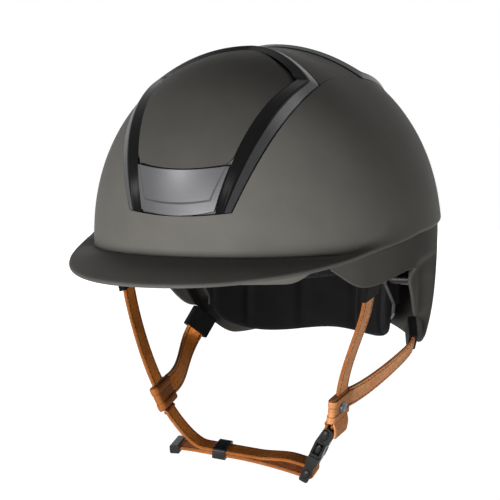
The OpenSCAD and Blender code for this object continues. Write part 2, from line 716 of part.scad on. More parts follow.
// Axes of a divider: outward face, width to the rear and upward, from its rake and lean
function divider_axes(lean) =
    let (r = divider_rake)
    [[cos(lean), 0, -sin(lean)],
        [sin(lean) * sin(r), cos(r), cos(lean) * sin(r)],
        [sin(lean) * cos(r), -sin(r), cos(lean) * cos(r)]];
sleeve_top = [sleeve_at.x, sleeve_at.y, liner_edge(sleeve_a) - 1.6];
strap_seat = fit_gap + 0.6;
strap_shift = 4;
module front_strap(side, divider, lean) {
    axes = divider_axes(lean);
    end = divider + axes[2] * (divider_h / 2 + strap_seat) + axes[1] * strap_shift * max(0, side);
    down = [-side * sin(sleeve_lean), 0, -cos(sleeve_lean)];
    start = [side * sleeve_top.x, sleeve_top.y, sleeve_top.z] + down * 3;
    exit = start + down * sleeve_h;
    n0 = [side * cos(sleeve_lean), 0, -sin(sleeve_lean)];
    n = 13;
    color("peru") band(
        concat([start], curve([exit, exit + down * 16, end + axes[2] * 20, end], n)),
        concat([n0], turned(n0, axes[0] * side, n, 1)));
}
// Leaves its guide straight for the length drop, and comes to the divider from the side of pull
module rear_strap(side, divider, lean, drop, pull, early) {
    axes = divider_axes(lean);
    end = divider + axes[1] * (divider_w / 2 + strap_seat + 0.2) + axes[2];
    n0 = [side * cos(guide_turn), sin(guide_turn), 0];
    down = [side * sin(guide_turn) * sin(guide_tilt), -cos(guide_turn) * sin(guide_tilt), -cos(guide_tilt)];
    at = [side * guide_at.x, guide_at.y, guide_at.z];
    exit = at + down * (guide_h / 2 + 1);
    n = 16;
    color("peru") band(
        concat([at - down * 4], curve([exit, exit + down * drop, end + [side * pull[0], pull[1], pull[2]], end], n)),
        concat([n0], turned(n0, axes[0] * side, n, early)));
}

// Sleeves, guides, dividers and studs

module tube_slot(t, w, h) {
    translate([-t / 2, -w / 2, 0]) cube([t, w, h]);
}
module rounded(x, y, r) {
    for (i = [-1, 1]) for (j = [-1, 1]) translate([i * (x / 2 - r), j * (y / 2 - r)]) circle(r = r, $fn = 24);
    square([x - 2 * r, y], center = true);
    square([x, y - 2 * r], center = true);
}
strap_slot_t = strap_t + 2 * fit_gap;
strap_slot_w = strap_w + 2 * fit_gap;
module front_sleeve() {
    t = strap_slot_t + 2 * sleeve_wall;
    w = strap_slot_w + 2 * side_wall_w;
    color("black") translate(sleeve_top) rotate([0, sleeve_lean, 0]) difference() {
        rotate([90, 0, 90]) translate([0, 0, -t / 2]) linear_extrude(t)
            polygon([[-w / 2, -1.5], [-w / 2 + 1.5, 0], [w / 2 - 1.5, 0], [w / 2, -1.5],
                [w / 2, sleeve_slant - sleeve_h], [-w / 2, -sleeve_h]]);
        translate([0, 0, -sleeve_h - 1]) tube_slot(strap_slot_t, strap_slot_w, sleeve_h - 1);
    }
}
module rear_guide() {
    color("black") translate(guide_at) rotate([0, 0, guide_turn]) rotate([-guide_tilt, 0, 0]) difference() {
        translate([0, 0, -guide_h / 2]) linear_extrude(guide_h)
            rounded(strap_slot_t + 2 * loop_wall, strap_slot_w + 2 * side_wall_w, 1.4);
        translate([0, 0, -guide_h / 2 - 1]) tube_slot(strap_slot_t, strap_slot_w, guide_h - 1);
    }
}
module divider(at, lean) {
    color("peru") translate(at) rotate([divider_rake, lean, 0]) rotate([90, 0, 90])
        translate([0, 0, -divider_t / 2]) linear_extrude(divider_t) rounded(divider_w, divider_h, 2.5);
}
module stud(at, lean, side) {
    color("silver") translate(at) rotate([divider_rake, lean, 0]) rotate([0, side * 90, 0])
        translate([0, 1, divider_t / 2 + 0.1]) {
            cylinder(d = stud_d, h = stud_t * 0.5, $fn = 48);
            translate([0, 0, stud_t * 0.5]) cylinder(d1 = stud_d, d2 = stud_d * 0.7, h = stud_t * 0.5, $fn = 48);
        }
}

// Plane of the chin strap: u to the wearer's left, v up, w towards the front

module chin_plane() {
    translate(hinge) rotate([90 + plane_tilt, 0, plane_turn]) children();
}
buckle_n = [sin(buckle_tilt), -cos(buckle_tilt)];
buckle_a = [cos(buckle_tilt), sin(buckle_tilt)];
function in_buckle(x, y) = buckle_at + buckle_n * x + buckle_a * y;
module buckle_frame() {
    chin_plane() translate([buckle_at.x, buckle_at.y, 0])
        rotate([0, 0, buckle_tilt - 90]) children();
}
// Band that stands square to the plane, along a path of [u, v] with its middle moved by shift(i)
module plane_band(path, shift0 = 0, shift1 = 0) {
    n = len(path) - 1;
    loft([for (i = [0:n])
        let (
            p = path[i],
            d = path[min(i + 1, n)] - path[max(i - 1, 0)],
            t = d / norm(d) * strap_t / 2,
            f = [-t[1], t[0]],
            c = shift0 + (shift1 - shift0) * pow(abs(2 * i / n - 1), 6),
            w = strap_w / 2
        )
        [[p[0] + f[0], p[1] + f[1], c + w], [p[0] + f[0], p[1] + f[1], c - w],
            [p[0] - f[0], p[1] - f[1], c - w], [p[0] - f[0], p[1] - f[1], c + w]]]);
}
loop_r = bar_d / 2 + layer_gap + strap_t / 2;
function loop_path(centre, a0, a1, n) = [for (i = [0:n])
    let (a = mix(a0, a1, i / n)) in_buckle(centre[0] + loop_r * cos(a), centre[1] + loop_r * sin(a))];
straight_0 = [24.2, -25.24];
straight_1 = [60, -30];
straight_t = unit(straight_1 - straight_0);
below = [straight_t[1], -straight_t[0]] * (strap_t + layer_gap);
plug_bar = [0, -bar_offset];
upper_mid = [87.5, -32];
upper_end = in_buckle(-0.6, plug_bar[1] + loop_r);
lower_start = in_buckle(0, plug_bar[1] - loop_r);
lower_end = mix(straight_1, straight_0, 0.3) + below;
chin_path = concat(
    curve([[0, 0], [3.8, -7], straight_0 - straight_t * 9.5, straight_0], 9),
    [mix(straight_0, straight_1, 0.33), mix(straight_0, straight_1, 0.66)],
    curve([straight_1, straight_1 + straight_t * 10, upper_mid - [9, -2.4], upper_mid], 5),
    [for (i = [1:5]) bezier([upper_mid, upper_mid + [3.8, -1.1], upper_end - buckle_n * 4, upper_end], i / 5)],
    loop_path(plug_bar, 84, -90, 8),
    [for (i = [1:7]) bezier([lower_start, lower_start - buckle_n * 5, [66, -33.6], lower_end], i / 7)],
    [mix(straight_1, straight_0, 0.6) + below, straight_0 + below],
    [for (i = [1:4]) bezier([straight_0 + below, [18.8, -26.9], [12.8, -26.4], tail_end], i / 4)]
);
module chin_strap() {
    color("peru") {
        chin_plane() plane_band(chin_path);
        chin_plane() translate([0, 0, -strap_w / 2]) cylinder(d = strap_t, h = strap_w, $fn = 48);
    }
}
module end_clip() {
    color("black") chin_plane() translate([tail_end[0] - 2.5, tail_end[1], 0]) difference() {
        translate([0, 0, -strap_w / 2 - loop_wall]) linear_extrude(strap_w + 2 * loop_wall)
            rounded(7, strap_slot_t + 2 * loop_wall, 1.2);
        translate([-0.3, -strap_slot_t / 2, -strap_slot_w / 2]) cube([8, strap_slot_t, strap_slot_w]);
    }
}
keeper_at = straight_0 + straight_t * (keeper_u - straight_0[0]) / straight_t[0] + below / 2;
keeper_turn = atan2(straight_t[1], straight_t[0]);
keeper_play = 0.4;
module keeper() {
    inner_t = 2 * strap_t + layer_gap + 2 * keeper_play;
    inner_w = strap_w + 2 * keeper_play;
    color("black") chin_plane() translate([keeper_at[0], keeper_at[1], 0]) rotate([0, 0, keeper_turn])
        rotate([0, 90, 0]) translate([0, 0, -keeper_len / 2]) linear_extrude(keeper_len) difference() {
            rounded(inner_w + 1.6 * loop_wall, inner_t + 1.6 * loop_wall, 1.8);
            square([inner_w, inner_t], center = true);
        }
}

// Buckle, drawn in its own frame: x through its thickness, y up its length, z across

side_wall = 2.2;
block_y = [-1, 6.4];
tongue_t = 3.6;
prong_t = 3;
mouth_flare = 0.7;
prong_w = 3;
window_y = [9.2, 17.9];
tongue_w = 3.6;
prong_swing = 1.3;
socket_body_top = socket_foot + socket_len - 10;
socket_bar = [2, socket_foot + socket_len - 4];
prong_root = [block_y[0] + 2, buckle_w / 2 - side_wall - buckle_gap - 2];
tongue_top = block_y[1] + prong_len - 3;
slot_z = [prong_root[1] - prong_w / 2 - 0.35, prong_root[1] + prong_w / 2 + 0.35];
module across(w) {
    translate([0, 0, -w / 2]) linear_extrude(w) children();
}
module buckle_socket() {
    cavity_w = buckle_w - 2 * side_wall;
    cavity_t = tongue_t + 2 * buckle_gap;
    mouth = [[cavity_t / 2 + mouth_flare, socket_foot - 1], [cavity_t / 2, socket_foot + 9],
        [cavity_t / 2, socket_body_top - 2]];
    color("dimgray") buckle_frame() difference() {
        union() {
            across(buckle_w) translate([0, (socket_foot + socket_body_top) / 2])
                rounded(buckle_t, socket_body_top - socket_foot, 2);
            for (s = [-1, 1]) translate([0, 0, s * (buckle_w - side_wall) / 2]) across(side_wall)
                polygon([[-buckle_t / 2 + 1, socket_body_top - 3], [buckle_t / 2, socket_body_top - 3],
                    [socket_bar[0] + 4, socket_bar[1] - 1], [socket_bar[0] + 3, socket_bar[1] + 3],
                    [socket_bar[0] - 2, socket_bar[1] + 4], [socket_bar[0] - 4, socket_bar[1]]]);
            translate([socket_bar[0], socket_bar[1], -buckle_w / 2]) cylinder(d = bar_d, h = buckle_w, $fn = 48);
        }
        across(cavity_w) polygon([for (s = [1, -1]) each [for (q = s > 0 ? mouth : rev(mouth)) [s * q[0], q[1]]]]);
        translate([-cavity_t / 2, window_y[0], -buckle_w]) cube([cavity_t, window_y[1] - window_y[0], 2 * buckle_w]);
        translate([0, socket_foot - 1, -tongue_w / 2 - buckle_gap])
            cube([buckle_t, tongue_top + buckle_gap - socket_foot + 1, tongue_w + 2 * buckle_gap]);
    }
}
module buckle_plug() {
    color("dimgray") buckle_frame() difference() {
        union() {
            across(buckle_w) polygon([[-buckle_t / 2 + 1.5, block_y[0]], [buckle_t / 2 - 1.5, block_y[0]],
                [buckle_t / 2, block_y[0] + 1.5], [buckle_t / 2, block_y[1]],
                [-buckle_t / 2, block_y[1]], [-buckle_t / 2, block_y[0] + 1.5]]);
            translate([-tongue_t / 2, block_y[1] - 1, -tongue_w / 2])
                cube([tongue_t, tongue_top - block_y[1] + 1, tongue_w]);
            for (s = [-1, 1]) translate([0, 0, s * (buckle_w - side_wall) / 2]) across(side_wall)
                translate([0, (block_y[0] - bar_offset - bar_d / 2 - 1.4) / 2])
                rounded(bar_d + 2, block_y[0] + 2 + bar_offset + bar_d / 2 + 1.4, 1.6);
            translate([0, -bar_offset, -buckle_w / 2]) cylinder(d = bar_d, h = buckle_w, $fn = 48);
        }
        for (s = [-1, 1]) translate([-buckle_t, prong_root[0], s * prong_root[1]]) rotate([0, 90, 0])
            cylinder(d = prong_w + 0.7, h = 2 * buckle_t, $fn = 48);
        for (s = [0, 1]) translate([-buckle_t, 0, 0]) rotate([90, 0, 90]) linear_extrude(2 * buckle_t)
            mirror([0, s]) polygon([[prong_root[0], slot_z[0]], [block_y[1] + 1, slot_z[0] - prong_swing],
                [block_y[1] + 1, slot_z[1]], [prong_root[0], slot_z[1]]]);
    }
}
// Prong: a round root, an arm and a shoulder that catches in the side window of the socket
module prong(s) {
    tip = block_y[1] + prong_len;
    z0 = prong_root[1] - prong_w / 2;
    z1 = prong_root[1] + prong_w / 2;
    out = buckle_w / 2 - 0.2;
    color("dimgray") buckle_frame() translate([-prong_t / 2, 0, 0]) rotate([90, 0, 90]) linear_extrude(prong_t)
        mirror([0, s < 0 ? 1 : 0]) union() {
            translate(prong_root) circle(d = prong_w, $fn = 48);
            polygon([[prong_root[0], z0], [tip - 1.5, z0], [tip, z0 + 1.5], [tip, z1 - 0.5],
                [tip - 3, out - 0.8], [window_y[0] + 2, out], [window_y[0] + buckle_gap, out - 0.4],
                [window_y[0] + buckle_gap, z1], [prong_root[0], z1]]);
        }
}

// Short strap from the left divider round the bar of the socket and back
module socket_strap() {
    foot = [116.5, -1.2];
    b = socket_bar;
    path = concat(
        [for (i = [0:4]) bezier([foot + [1.5, -1.6], foot + [-3, -8], in_buckle(b[0] + loop_r, b[1] + 8),
            in_buckle(b[0] + loop_r, b[1])], i / 4)],
        [for (i = [1:8]) let (a = -180 * i / 8)
            in_buckle(b[0] + loop_r * cos(a), b[1] + loop_r * sin(a))],
        [for (i = [1:4]) bezier([in_buckle(b[0] - loop_r, b[1]), in_buckle(b[0] - loop_r, b[1] + 6),
            foot + [-7, -3.5], foot + [-1.5, 1.4]], i / 4)]
    );
    color("peru") chin_plane() plane_band(path, 0, 4);
}

outer_shell();
crown_seat();
peak();
front_panel();
front_frame();
front_plate();
rear_frame();
rear_panel();
rear_grille();
lower_shell();
liner_upper();
liner_lower();
crown_pad();
front_pad();
side_pad(1);  // side_pad_left
side_pad(-1);  // side_pad_right
nape_pad();
nape_cradle();
pivot_pin();  // pivot_pin_left
mirror([1, 0, 0]) pivot_pin();  // pivot_pin_right
front_sleeve();  // front_sleeve_left
mirror([1, 0, 0]) front_sleeve();  // front_sleeve_right
rear_guide();  // rear_guide_left
mirror([1, 0, 0]) rear_guide();  // rear_guide_right
front_strap(1, left_divider, left_lean);  // front_strap_left
front_strap(-1, right_divider, right_lean);  // front_strap_right
rear_strap(1, left_divider, left_lean, 4, [4, 24, 2], 3);  // rear_strap_left
rear_strap(-1, right_divider, right_lean, 20, [2, 28, 5], 0.6);  // rear_strap_right
divider(left_divider, left_lean);  // divider_left
divider(right_divider, right_lean);  // divider_right
stud(left_divider, left_lean, 1);  // stud_left
stud(right_divider, right_lean, -1);  // stud_right
socket_strap();
chin_strap();
keeper();
end_clip();
buckle_socket();
buckle_plug();
prong(1);  // prong_front
prong(-1);  // prong_rear
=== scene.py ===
import bpy
import bmesh
import math
import numpy as np
from mathutils import Matrix, Vector


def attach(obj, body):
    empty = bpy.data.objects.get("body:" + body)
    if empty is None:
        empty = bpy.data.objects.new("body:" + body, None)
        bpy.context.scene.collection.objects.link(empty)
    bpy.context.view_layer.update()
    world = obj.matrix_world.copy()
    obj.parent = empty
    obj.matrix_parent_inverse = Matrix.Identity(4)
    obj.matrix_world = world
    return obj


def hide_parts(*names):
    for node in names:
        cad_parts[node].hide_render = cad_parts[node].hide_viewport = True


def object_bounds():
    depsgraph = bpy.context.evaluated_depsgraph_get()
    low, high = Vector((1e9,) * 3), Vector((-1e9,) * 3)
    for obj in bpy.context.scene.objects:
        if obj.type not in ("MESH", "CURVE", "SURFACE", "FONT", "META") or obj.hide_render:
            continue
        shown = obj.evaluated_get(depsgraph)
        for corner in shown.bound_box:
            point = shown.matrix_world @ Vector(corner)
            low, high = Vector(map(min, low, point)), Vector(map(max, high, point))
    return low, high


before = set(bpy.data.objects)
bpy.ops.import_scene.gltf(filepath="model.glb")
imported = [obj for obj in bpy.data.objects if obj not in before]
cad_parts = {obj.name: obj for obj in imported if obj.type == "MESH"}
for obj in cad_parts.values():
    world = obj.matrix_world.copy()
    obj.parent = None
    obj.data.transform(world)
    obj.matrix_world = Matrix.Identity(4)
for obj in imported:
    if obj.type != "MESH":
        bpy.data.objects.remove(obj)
cad_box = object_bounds()
scene = bpy.context.scene


def linked(name, data):
    obj = bpy.data.objects.new(name, data)
    scene.collection.objects.link(obj)
    return obj


# Camera or lamp at an azimuth, elevation and distance from its aim
def aimed(name, data, az, el, dist, aim):
    obj, target = linked(name, data), Vector(aim)
    obj.location = target + Vector(round_dir(az, el)) * dist
    obj.rotation_euler = (target - obj.location).to_track_quat("-Z", "Y").to_euler()
    return obj


# ---- sizes, in millimetres and degrees, as in the part

# Dome: half width, reach ahead and behind, height, depth of its lower half, and the powers of its curves
HALF_W, FRONT, REAR, RISE, LOW = 112.0, 136.0, 139.5, 124.5, 215.0
PLAN_P, SIDE_P, FRONT_P, REAR_P = 2.02, 1.86, 2.5, 2.38
WALL, SEAT, GAP = 4.0, 2.5, 0.3
# Peak and rim
PEAK_REACH, PEAK_T, PEAK_P, CREASE_Z, FOREHEAD_Z = 179.0, 2.6, 2.1, -8.0, -25.0
RIM_W, RIM_RISE, RIM_SLOPE, RIM_FALL, RIM_DROOP, REAR_SLOPE = 114.0, 3.9, 0.168, 0.00035, 0.00119, 0.06
ARCH_H, ARCH_A, ARCH_SPREAD = 1.4, 58, 14
SEAM_A, END_A, CREASE_END_A, CREASE_UP, FLUSH_A, FLUSH_OFF = 46.0, 61.0, 72, 15, 104, 0.4
# Flare: its bow, its share of a shell section, and the peak's thickness where it leaves the shell
FLARE_BOW, FLARE_SHARE, PEAK_ROOT_T = 9, 0.3, 5.0
# Crown, as angles from front to rear (TH) and to the side: plate, panels, frames and their bars
PLATE_TH, PLATE_CORNER, PANEL_TH, PANEL_CORNER = 7.4, 9.0, 19.8, 22.0
CORNER, BAR_MID, BAR_W, REAR_BAR_MID, REAR_CORNER = 65.0, 80.0, 4.6, 92.0, 104.0
REAR_PANEL_TH, REAR_END, REAR_END_MID = 118.0, 160.0, 163.0
F_LO, F_HI, F_REAR_LO, IN_LO, IN_HI, REAR_BAND = 15.9, 28.5, 14.0, 11.2, 22.8, 5.0
FRAME_BOW, BAR_BOW = 1.7, 1.3
# Span of angles at the shell's front and rear that ends at the plate and at the rear panel
ENDS_A = 20
# Lower shell: its step inward, its wall, and the corners of its edge
STEP, L_WALL = 2.2, 2.6
START_A, TEMPLE_A, EAR_A, LOBE_A, SCOOP_A, NOTCH_A = 45.5, 59.0, 88.0, 142.0, 111.0, 122.0
TEMPLE_Z, EAR_Z, LOBE_Z, NAPE_Z, NOTCH_Z = -29.5, -21.0, -81.5, -67.0, -59.0
# Liner, pads, cradle and straps
LINER_T, PAD_T, NAPE_T, CRADLE_T, CRADLE_SPACE, CRADLE_A = 21.0, 7.5, 10.0, 2.4, 4.0, 124.0
STRAP_W, STRAP_T = 15.0, 2.2
GAP_DEG = GAP / HALF_W * 180 / math.pi
FLOOR_OFF = -(SEAT - 0.8)


def A(*v):
    return np.array(v, dtype=float)


def span(n):
    return np.linspace(0, 1, n + 1)


def circle(n):
    return [(math.cos(t), math.sin(t)) for t in (2 * math.pi * k / n for k in range(n))]


def sind(v):
    return np.sin(np.radians(v))


def cosd(v):
    return np.cos(np.radians(v))


def mix(a, b, t):
    return a + (b - a) * t


def clamp(t):
    return np.clip(t, 0, 1)


def ease(t):
    c = clamp(t)
    return c * c * (3 - 2 * c)


def step_to(a, a0, z0, a1, z1):
    return mix(z0, z1, ease((a - a0) / (a1 - a0)))


def unit(v):
    return v / np.linalg.norm(v, axis=-1, keepdims=True)


def vec(x, y, z):
    return np.stack(np.broadcast_arrays(x, y, z), axis=-1).astype(float)


def round_dir(a, e):
    return vec(sind(a) * cosd(e), -cosd(a) * cosd(e), sind(e))


def over_dir(ph, th):
    return vec(sind(ph), -cosd(ph) * cosd(th), cosd(ph) * sind(th))


def dome_r(d):
    x, y, z = np.abs(d[..., 0]), np.abs(d[..., 1]), np.abs(d[..., 2])
    ahead = d[..., 1] < 0
    flat = x * x + y * y
    share = np.where(flat < 1e-9, 0, y * y / np.maximum(flat, 1e-12))
    m = SIDE_P * (1 - share) + np.where(ahead, FRONT_P, REAR_P) * share
    plan = ((x / HALF_W) ** PLAN_P + (y / np.where(ahead, FRONT, REAR)) ** PLAN_P) ** (m / PLAN_P)
    return (plan + (z / np.where(d[..., 2] < 0, LOW, RISE)) ** m) ** (-1 / m)


def dome(d, off=0.0):
    u = unit(d)
    return u * (dome_r(u) + off)[..., None]


def over(ph, th, off=0.0):
    return dome(over_dir(ph, th), off)


def elev(a, z, off=0.0):
    e = np.zeros(np.broadcast(a, z, off).shape)
    for _ in range(5):
        e = np.degrees(np.arcsin(z / (dome_r(round_dir(a, e)) + off)))
    return e


def wall_at(a, z, off=0.0):
    return dome(round_dir(a, elev(a, z, off)), off)


def frame_out(th):
    th = np.asarray(th, float)
    ahead = 1 - clamp((th - PLATE_CORNER) / (CORNER - PLATE_CORNER))
    behind = 1 - clamp((REAR_END - th) / (REAR_END - REAR_CORNER))
    front = F_LO + (F_HI - F_LO) * (1 - ahead ** FRAME_BOW)
    rear = F_REAR_LO + (F_HI - F_REAR_LO) * (1 - behind ** FRAME_BOW)
    return np.where(th <= CORNER, front, np.where(th <= REAR_CORNER, F_HI, rear))


def frame_in(th):
    return IN_LO + (IN_HI - IN_LO) * clamp((th - PLATE_CORNER) / (CORNER - 4 - PLATE_CORNER))


# Curves across the crown, from an angle in the middle to another at the corners
def arc(mid, corner, power=2):
    return lambda u: mix(mid, corner, np.abs(u) ** power)


bar_th, rear_bar_th = arc(BAR_MID, CORNER, BAR_BOW), arc(REAR_BAR_MID, REAR_CORNER, BAR_BOW)
plate_low_th, plate_top_th = arc(PLATE_TH, PLATE_CORNER), arc(PANEL_TH, PANEL_CORNER)
rear_low_th = arc(REAR_END_MID, REAR_END)


def rim_plan(a):
    s, c = np.abs(sind(a)), np.abs(cosd(a))
    ahead = cosd(a) > 0
    reach, p = np.where(ahead, PEAK_REACH, REAR), np.where(ahead, PEAK_P, PLAN_P)
    return ((s / RIM_W) ** p + (c / reach) ** p) ** (-1 / p)


def rim_height(a):
    r = rim_plan(a)
    x, y = r * sind(a), -r * cosd(a)
    arch = ARCH_H * np.exp(-((np.abs(a) - ARCH_A) / ARCH_SPREAD) ** 2)
    ahead = RIM_SLOPE * y - RIM_FALL * y * y + RIM_DROOP * (RIM_W * RIM_W - x * x)
    return RIM_RISE + arch + np.where(y < 0, ahead, REAR_SLOPE * y)


def rim_point(a):
    z = rim_height(a)
    flush = wall_at(a, z, FLUSH_OFF)
    share = ease((np.abs(a) - END_A) / (FLUSH_A - END_A))
    r = mix(rim_plan(a), np.hypot(flush[..., 0], flush[..., 1]), share)
    return vec(r * sind(a), -r * cosd(a), z)


def crease_height(a):
    t = ease((np.abs(a) - SEAM_A) / (CREASE_END_A - SEAM_A))
    return np.where(np.abs(a) < SEAM_A, CREASE_Z, mix(CREASE_Z, rim_height(a) + CREASE_UP, t))


def crease_point(a):
    return wall_at(a, crease_height(a))


# Point of the flare that runs from the crease (w = 0) to the rim (w = 1): the peak ahead, a lip at the sides
def flare(a, w):
    a, w = np.broadcast_arrays(a, w)
    c, e, w3 = crease_point(a), rim_point(a), w[..., None]
    soft = ease((np.abs(a) - SEAM_A + 6) / (END_A - SEAM_A + 8))[..., None]
    bow = FLARE_BOW * np.linalg.norm(e - c, axis=-1) / PEAK_REACH * np.sin(math.pi * w)
    flat = mix(c, e, w3) + vec(0, 0, bow)
    lip = wall_at(a, mix(c[..., 2], e[..., 2], w)) + (e - wall_at(a, e[..., 2])) * w3 * w3
    return mix(flat, lip, soft)


def flare_n(a, w):
    side = vec(cosd(a), sind(a), 0)
    return unit(np.cross(flare(a, w + 0.02) - flare(a, w - 0.02), side))


# Point of the underside: square to the flare near the crease, straight below it at the rim
def under(a, w, t):
    a, w = np.broadcast_arrays(a, w)
    t = np.broadcast_to(t, a.shape)
    square = flare(a, w) - flare_n(a, w) * t[..., None]
    below = flare(a, w) - vec(0, 0, t)
    return mix(square, below, (clamp(w) ** 6)[..., None])


# ---- meshes


def new_object(name, points, faces, mats, face_mats=None, sharp=35):
    mesh = bpy.data.meshes.new(name)
    mesh.from_pydata((np.asarray(points, float) * 0.001).tolist(), [], faces)
    mesh.update()
    for m in mats:
        mesh.materials.append(m)
    if face_mats is not None:
        mesh.polygons.foreach_set("material_index", face_mats)
    return smooth_object(name, mesh, sharp)


def smooth_object(name, mesh, sharp):
    mesh.shade_smooth()
    mesh.set_sharp_from_angle(angle=math.radians(sharp))
    return linked(name, mesh)


def outward(points, faces):
    p = np.asarray(points, float)
    total = sum(np.dot(p[f[0]], np.cross(p[f[k]], p[f[k + 1]])) for f in faces for k in range(1, len(f) - 1))
    return faces if total > 0 else [f[::-1] for f in faces]


# Faces through n sections of m points; closed joins the last to the first, else both ends are capped
def loft_faces(n, m, closed, start=0):
    faces = []
    for i in range(n if closed else n - 1):
        this, after = start + i * m, start + (i + 1) % n * m
        for j in range(m):
            k = (j + 1) % m
            faces.append((this + j, this + k, after + k, after + j))
    if not closed:
        for end in (start, start + (n - 1) * m):
            for j in range(m // 2 - 1):
                cap = (end + j, end + j + 1, end + m - 2 - j, end + m - 1 - j)
                faces.append(cap if end > start else cap[::-1])
    return faces


def loft(name, sections, mats, closed=False, bevel=0.0, sharp=35):
    s = np.asarray(sections, float)
    n, m = s.shape[:2]
    points = s.reshape(-1, 3)
    obj = new_object(name, points, outward(points, loft_faces(n, m, closed)), mats, sharp=sharp)
    if bevel:
        add_bevel(obj, bevel)
    return obj


# Solid round the top: spokes run out from a pole at one height over the dome, and back in at another
def cup(name, spokes, outer_off, inner_off, mat, sharp=35):
    s = np.asarray(spokes, float)
    n, m = s.shape[:2]
    poles = dome(np.tile(A(0, 0, 1), (2, 1)), A(outer_off, inner_off))
    points = np.vstack([s.reshape(-1, 3), poles])
    faces = []
    for i in range(n):
        k = (i + 1) % n
        for j in range(m - 1):
            faces.append((i * m + j, i * m + j + 1, k * m + j + 1, k * m + j))
        faces.append((n * m, i * m, k * m))
        faces.append((n * m + 1, k * m + m - 1, i * m + m - 1))
    return new_object(name, points, outward(points, faces), [mat], sharp=sharp)


def add_bevel(obj, width):
    mod = obj.modifiers.new("bevel", "BEVEL")
    mod.width = width * 0.001
    mod.segments = 3
    mod.limit_method = "ANGLE"
    mod.angle_limit = math.radians(38)


# Rounded copy of a rigid node: flat faces joined, then its edges bevelled
def rounded_node(node, mat, bevel):
    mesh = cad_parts[node].data.copy()
    mesh.name = node + "_piece"
    bm = bmesh.new()
    bm.from_mesh(mesh)
    bmesh.ops.remove_doubles(bm, verts=bm.verts, dist=1e-6)
    bmesh.ops.dissolve_limit(bm, angle_limit=math.radians(1.0), verts=bm.verts, edges=bm.edges)
    for f in bm.faces:
        f.material_index = 0
    bm.to_mesh(mesh)
    bm.free()
    mesh.materials.clear()
    mesh.materials.append(mat)
    obj = smooth_object(node + "_piece", mesh, 40)
    add_bevel(obj, bevel)
    return obj


# ---- node trees and materials


def linear(rgb):
    share = [c / 255 for c in rgb]
    return tuple(c / 12.92 if c <= 0.04045 else ((c + 0.055) / 1.055) ** 2.4 for c in share) + (1.0,)


def cleared(owner):
    owner.use_nodes = True
    owner.node_tree.nodes.clear()
    return owner.node_tree


# New node, with each input given as a value or as the socket to link; returns one of its outputs
def add_node(tree, kind, inputs, out=0, **props):
    n = tree.nodes.new("ShaderNode" + kind)
    for key, value in props.items():
        setattr(n, key, value)
    for key, value in inputs.items():
        if isinstance(value, bpy.types.NodeSocket):
            tree.links.new(value, n.inputs[key])
        else:
            n.inputs[key].default_value = value
    return n.outputs[out] if n.outputs else n


class Surface:
    def __init__(self, name, rough=0.5, metallic=0.0, specular=0.5, sheen=0.0):
        self.mat = bpy.data.materials.new(name)
        self.tree = cleared(self.mat)
        shader = self.node("BsdfPrincipled", {"Roughness": rough, "Metallic": metallic,
                                              "Specular IOR Level": specular, "Sheen Weight": sheen})
        self.bsdf = shader.node
        self.node("OutputMaterial", {"Surface": shader})
        self.coord = self.node("TexCoord", {}, "Object")

    def node(self, kind, inputs, out=0, **props):
        return add_node(self.tree, kind, inputs, out, **props)

    # Noise, drawn out by a scale for each axis where one is given
    def noise(self, scale, detail=4.0, rough=0.55, stretch=None):
        at = self.node("Mapping", {"Scale": stretch, "Vector": self.coord}) if stretch else self.coord
        return self.node("TexNoise", {"Scale": scale, "Detail": detail, "Roughness": rough, "Vector": at})

    def cells(self, scale):
        return self.node("TexVoronoi", {"Scale": scale, "Vector": self.coord}, "Distance", feature="F1")

    def wave(self, scale, direction, distortion):
        return self.node("TexWave", {"Scale": scale, "Distortion": distortion, "Vector": self.coord}, 1,
                         wave_type="BANDS", bands_direction=direction)

    def span(self, value, lo, hi, a=0.0, b=1.0):
        ends = {"From Min": lo, "From Max": hi, "To Min": a, "To Max": b}
        return self.node("MapRange", {"Value": value, **ends})

    def math(self, op, a, b):
        return self.node("Math", {0: a, 1: b}, operation=op)

    def blend(self, factor, first, second):
        return self.node("Mix", {"Factor": factor, 6: first, 7: second}, 2, data_type="RGBA")

    def tones(self, value, lo, hi, first, second):
        return self.blend(self.span(value, lo, hi), linear(first), linear(second))

    # The material: its colour, roughness from a value that runs up from lo, and reliefs one on another
    def done(self, colour, worn, rough, *reliefs, lo=0.3):
        ends = {"Base Color": colour, "Roughness": self.span(worn, lo, 0.7, *rough)}
        for value, distance, strength in reliefs:
            under_it = {"Normal": ends["Normal"]} if "Normal" in ends else {}
            ends["Normal"] = self.node("Bump", {"Distance": distance, "Strength": strength, "Height": value,
                                                **under_it})
        for key, value in ends.items():
            self.tree.links.new(value, self.bsdf.inputs[key])
        return self.mat


# Moulded or painted finish: patches of tone and roughness over a fine grain, and, where shade tones are
# given, darker tones in its middle as painted shade
def grained(name, low, high, rough, patch=38, grain=2300, depth=0.00003, specular=0.5, shade_tones=None):
    s = Surface(name, specular=specular)
    broad, fine = s.noise(patch, 5.0), s.noise(grain, 3.0)
    if shade_tones:
        middle = s.node("Attribute", {}, "Fac", attribute_name="middle")
        tone = s.blend(middle, s.tones(broad, 0.36, 0.64, low, high), s.tones(broad, 0.36, 0.64, *shade_tones))
    else:
        both = s.math("ADD", s.math("MULTIPLY", broad, 0.6), s.math("MULTIPLY", fine, 0.4))
        tone = s.tones(both, 0.36, 0.64, low, high)
    return s.done(tone, broad, rough, (fine, depth, 1))


def leather(name, low, high, dark, rough=(0.42, 0.6)):
    s = Surface(name, specular=0.04)
    tone, pores, streak = s.noise(90, 4.0), s.cells(1150), s.noise(520, 3.0)
    base = s.tones(tone, 0.35, 0.65, low, high)
    worn = s.blend(s.span(s.math("MULTIPLY", pores, streak), 0.36, 0.12, 0, 0.5), base, linear(dark))
    return s.done(worn, tone, rough, (pores, 0.00016, 0.7), (streak, 0.0001, 0.5))


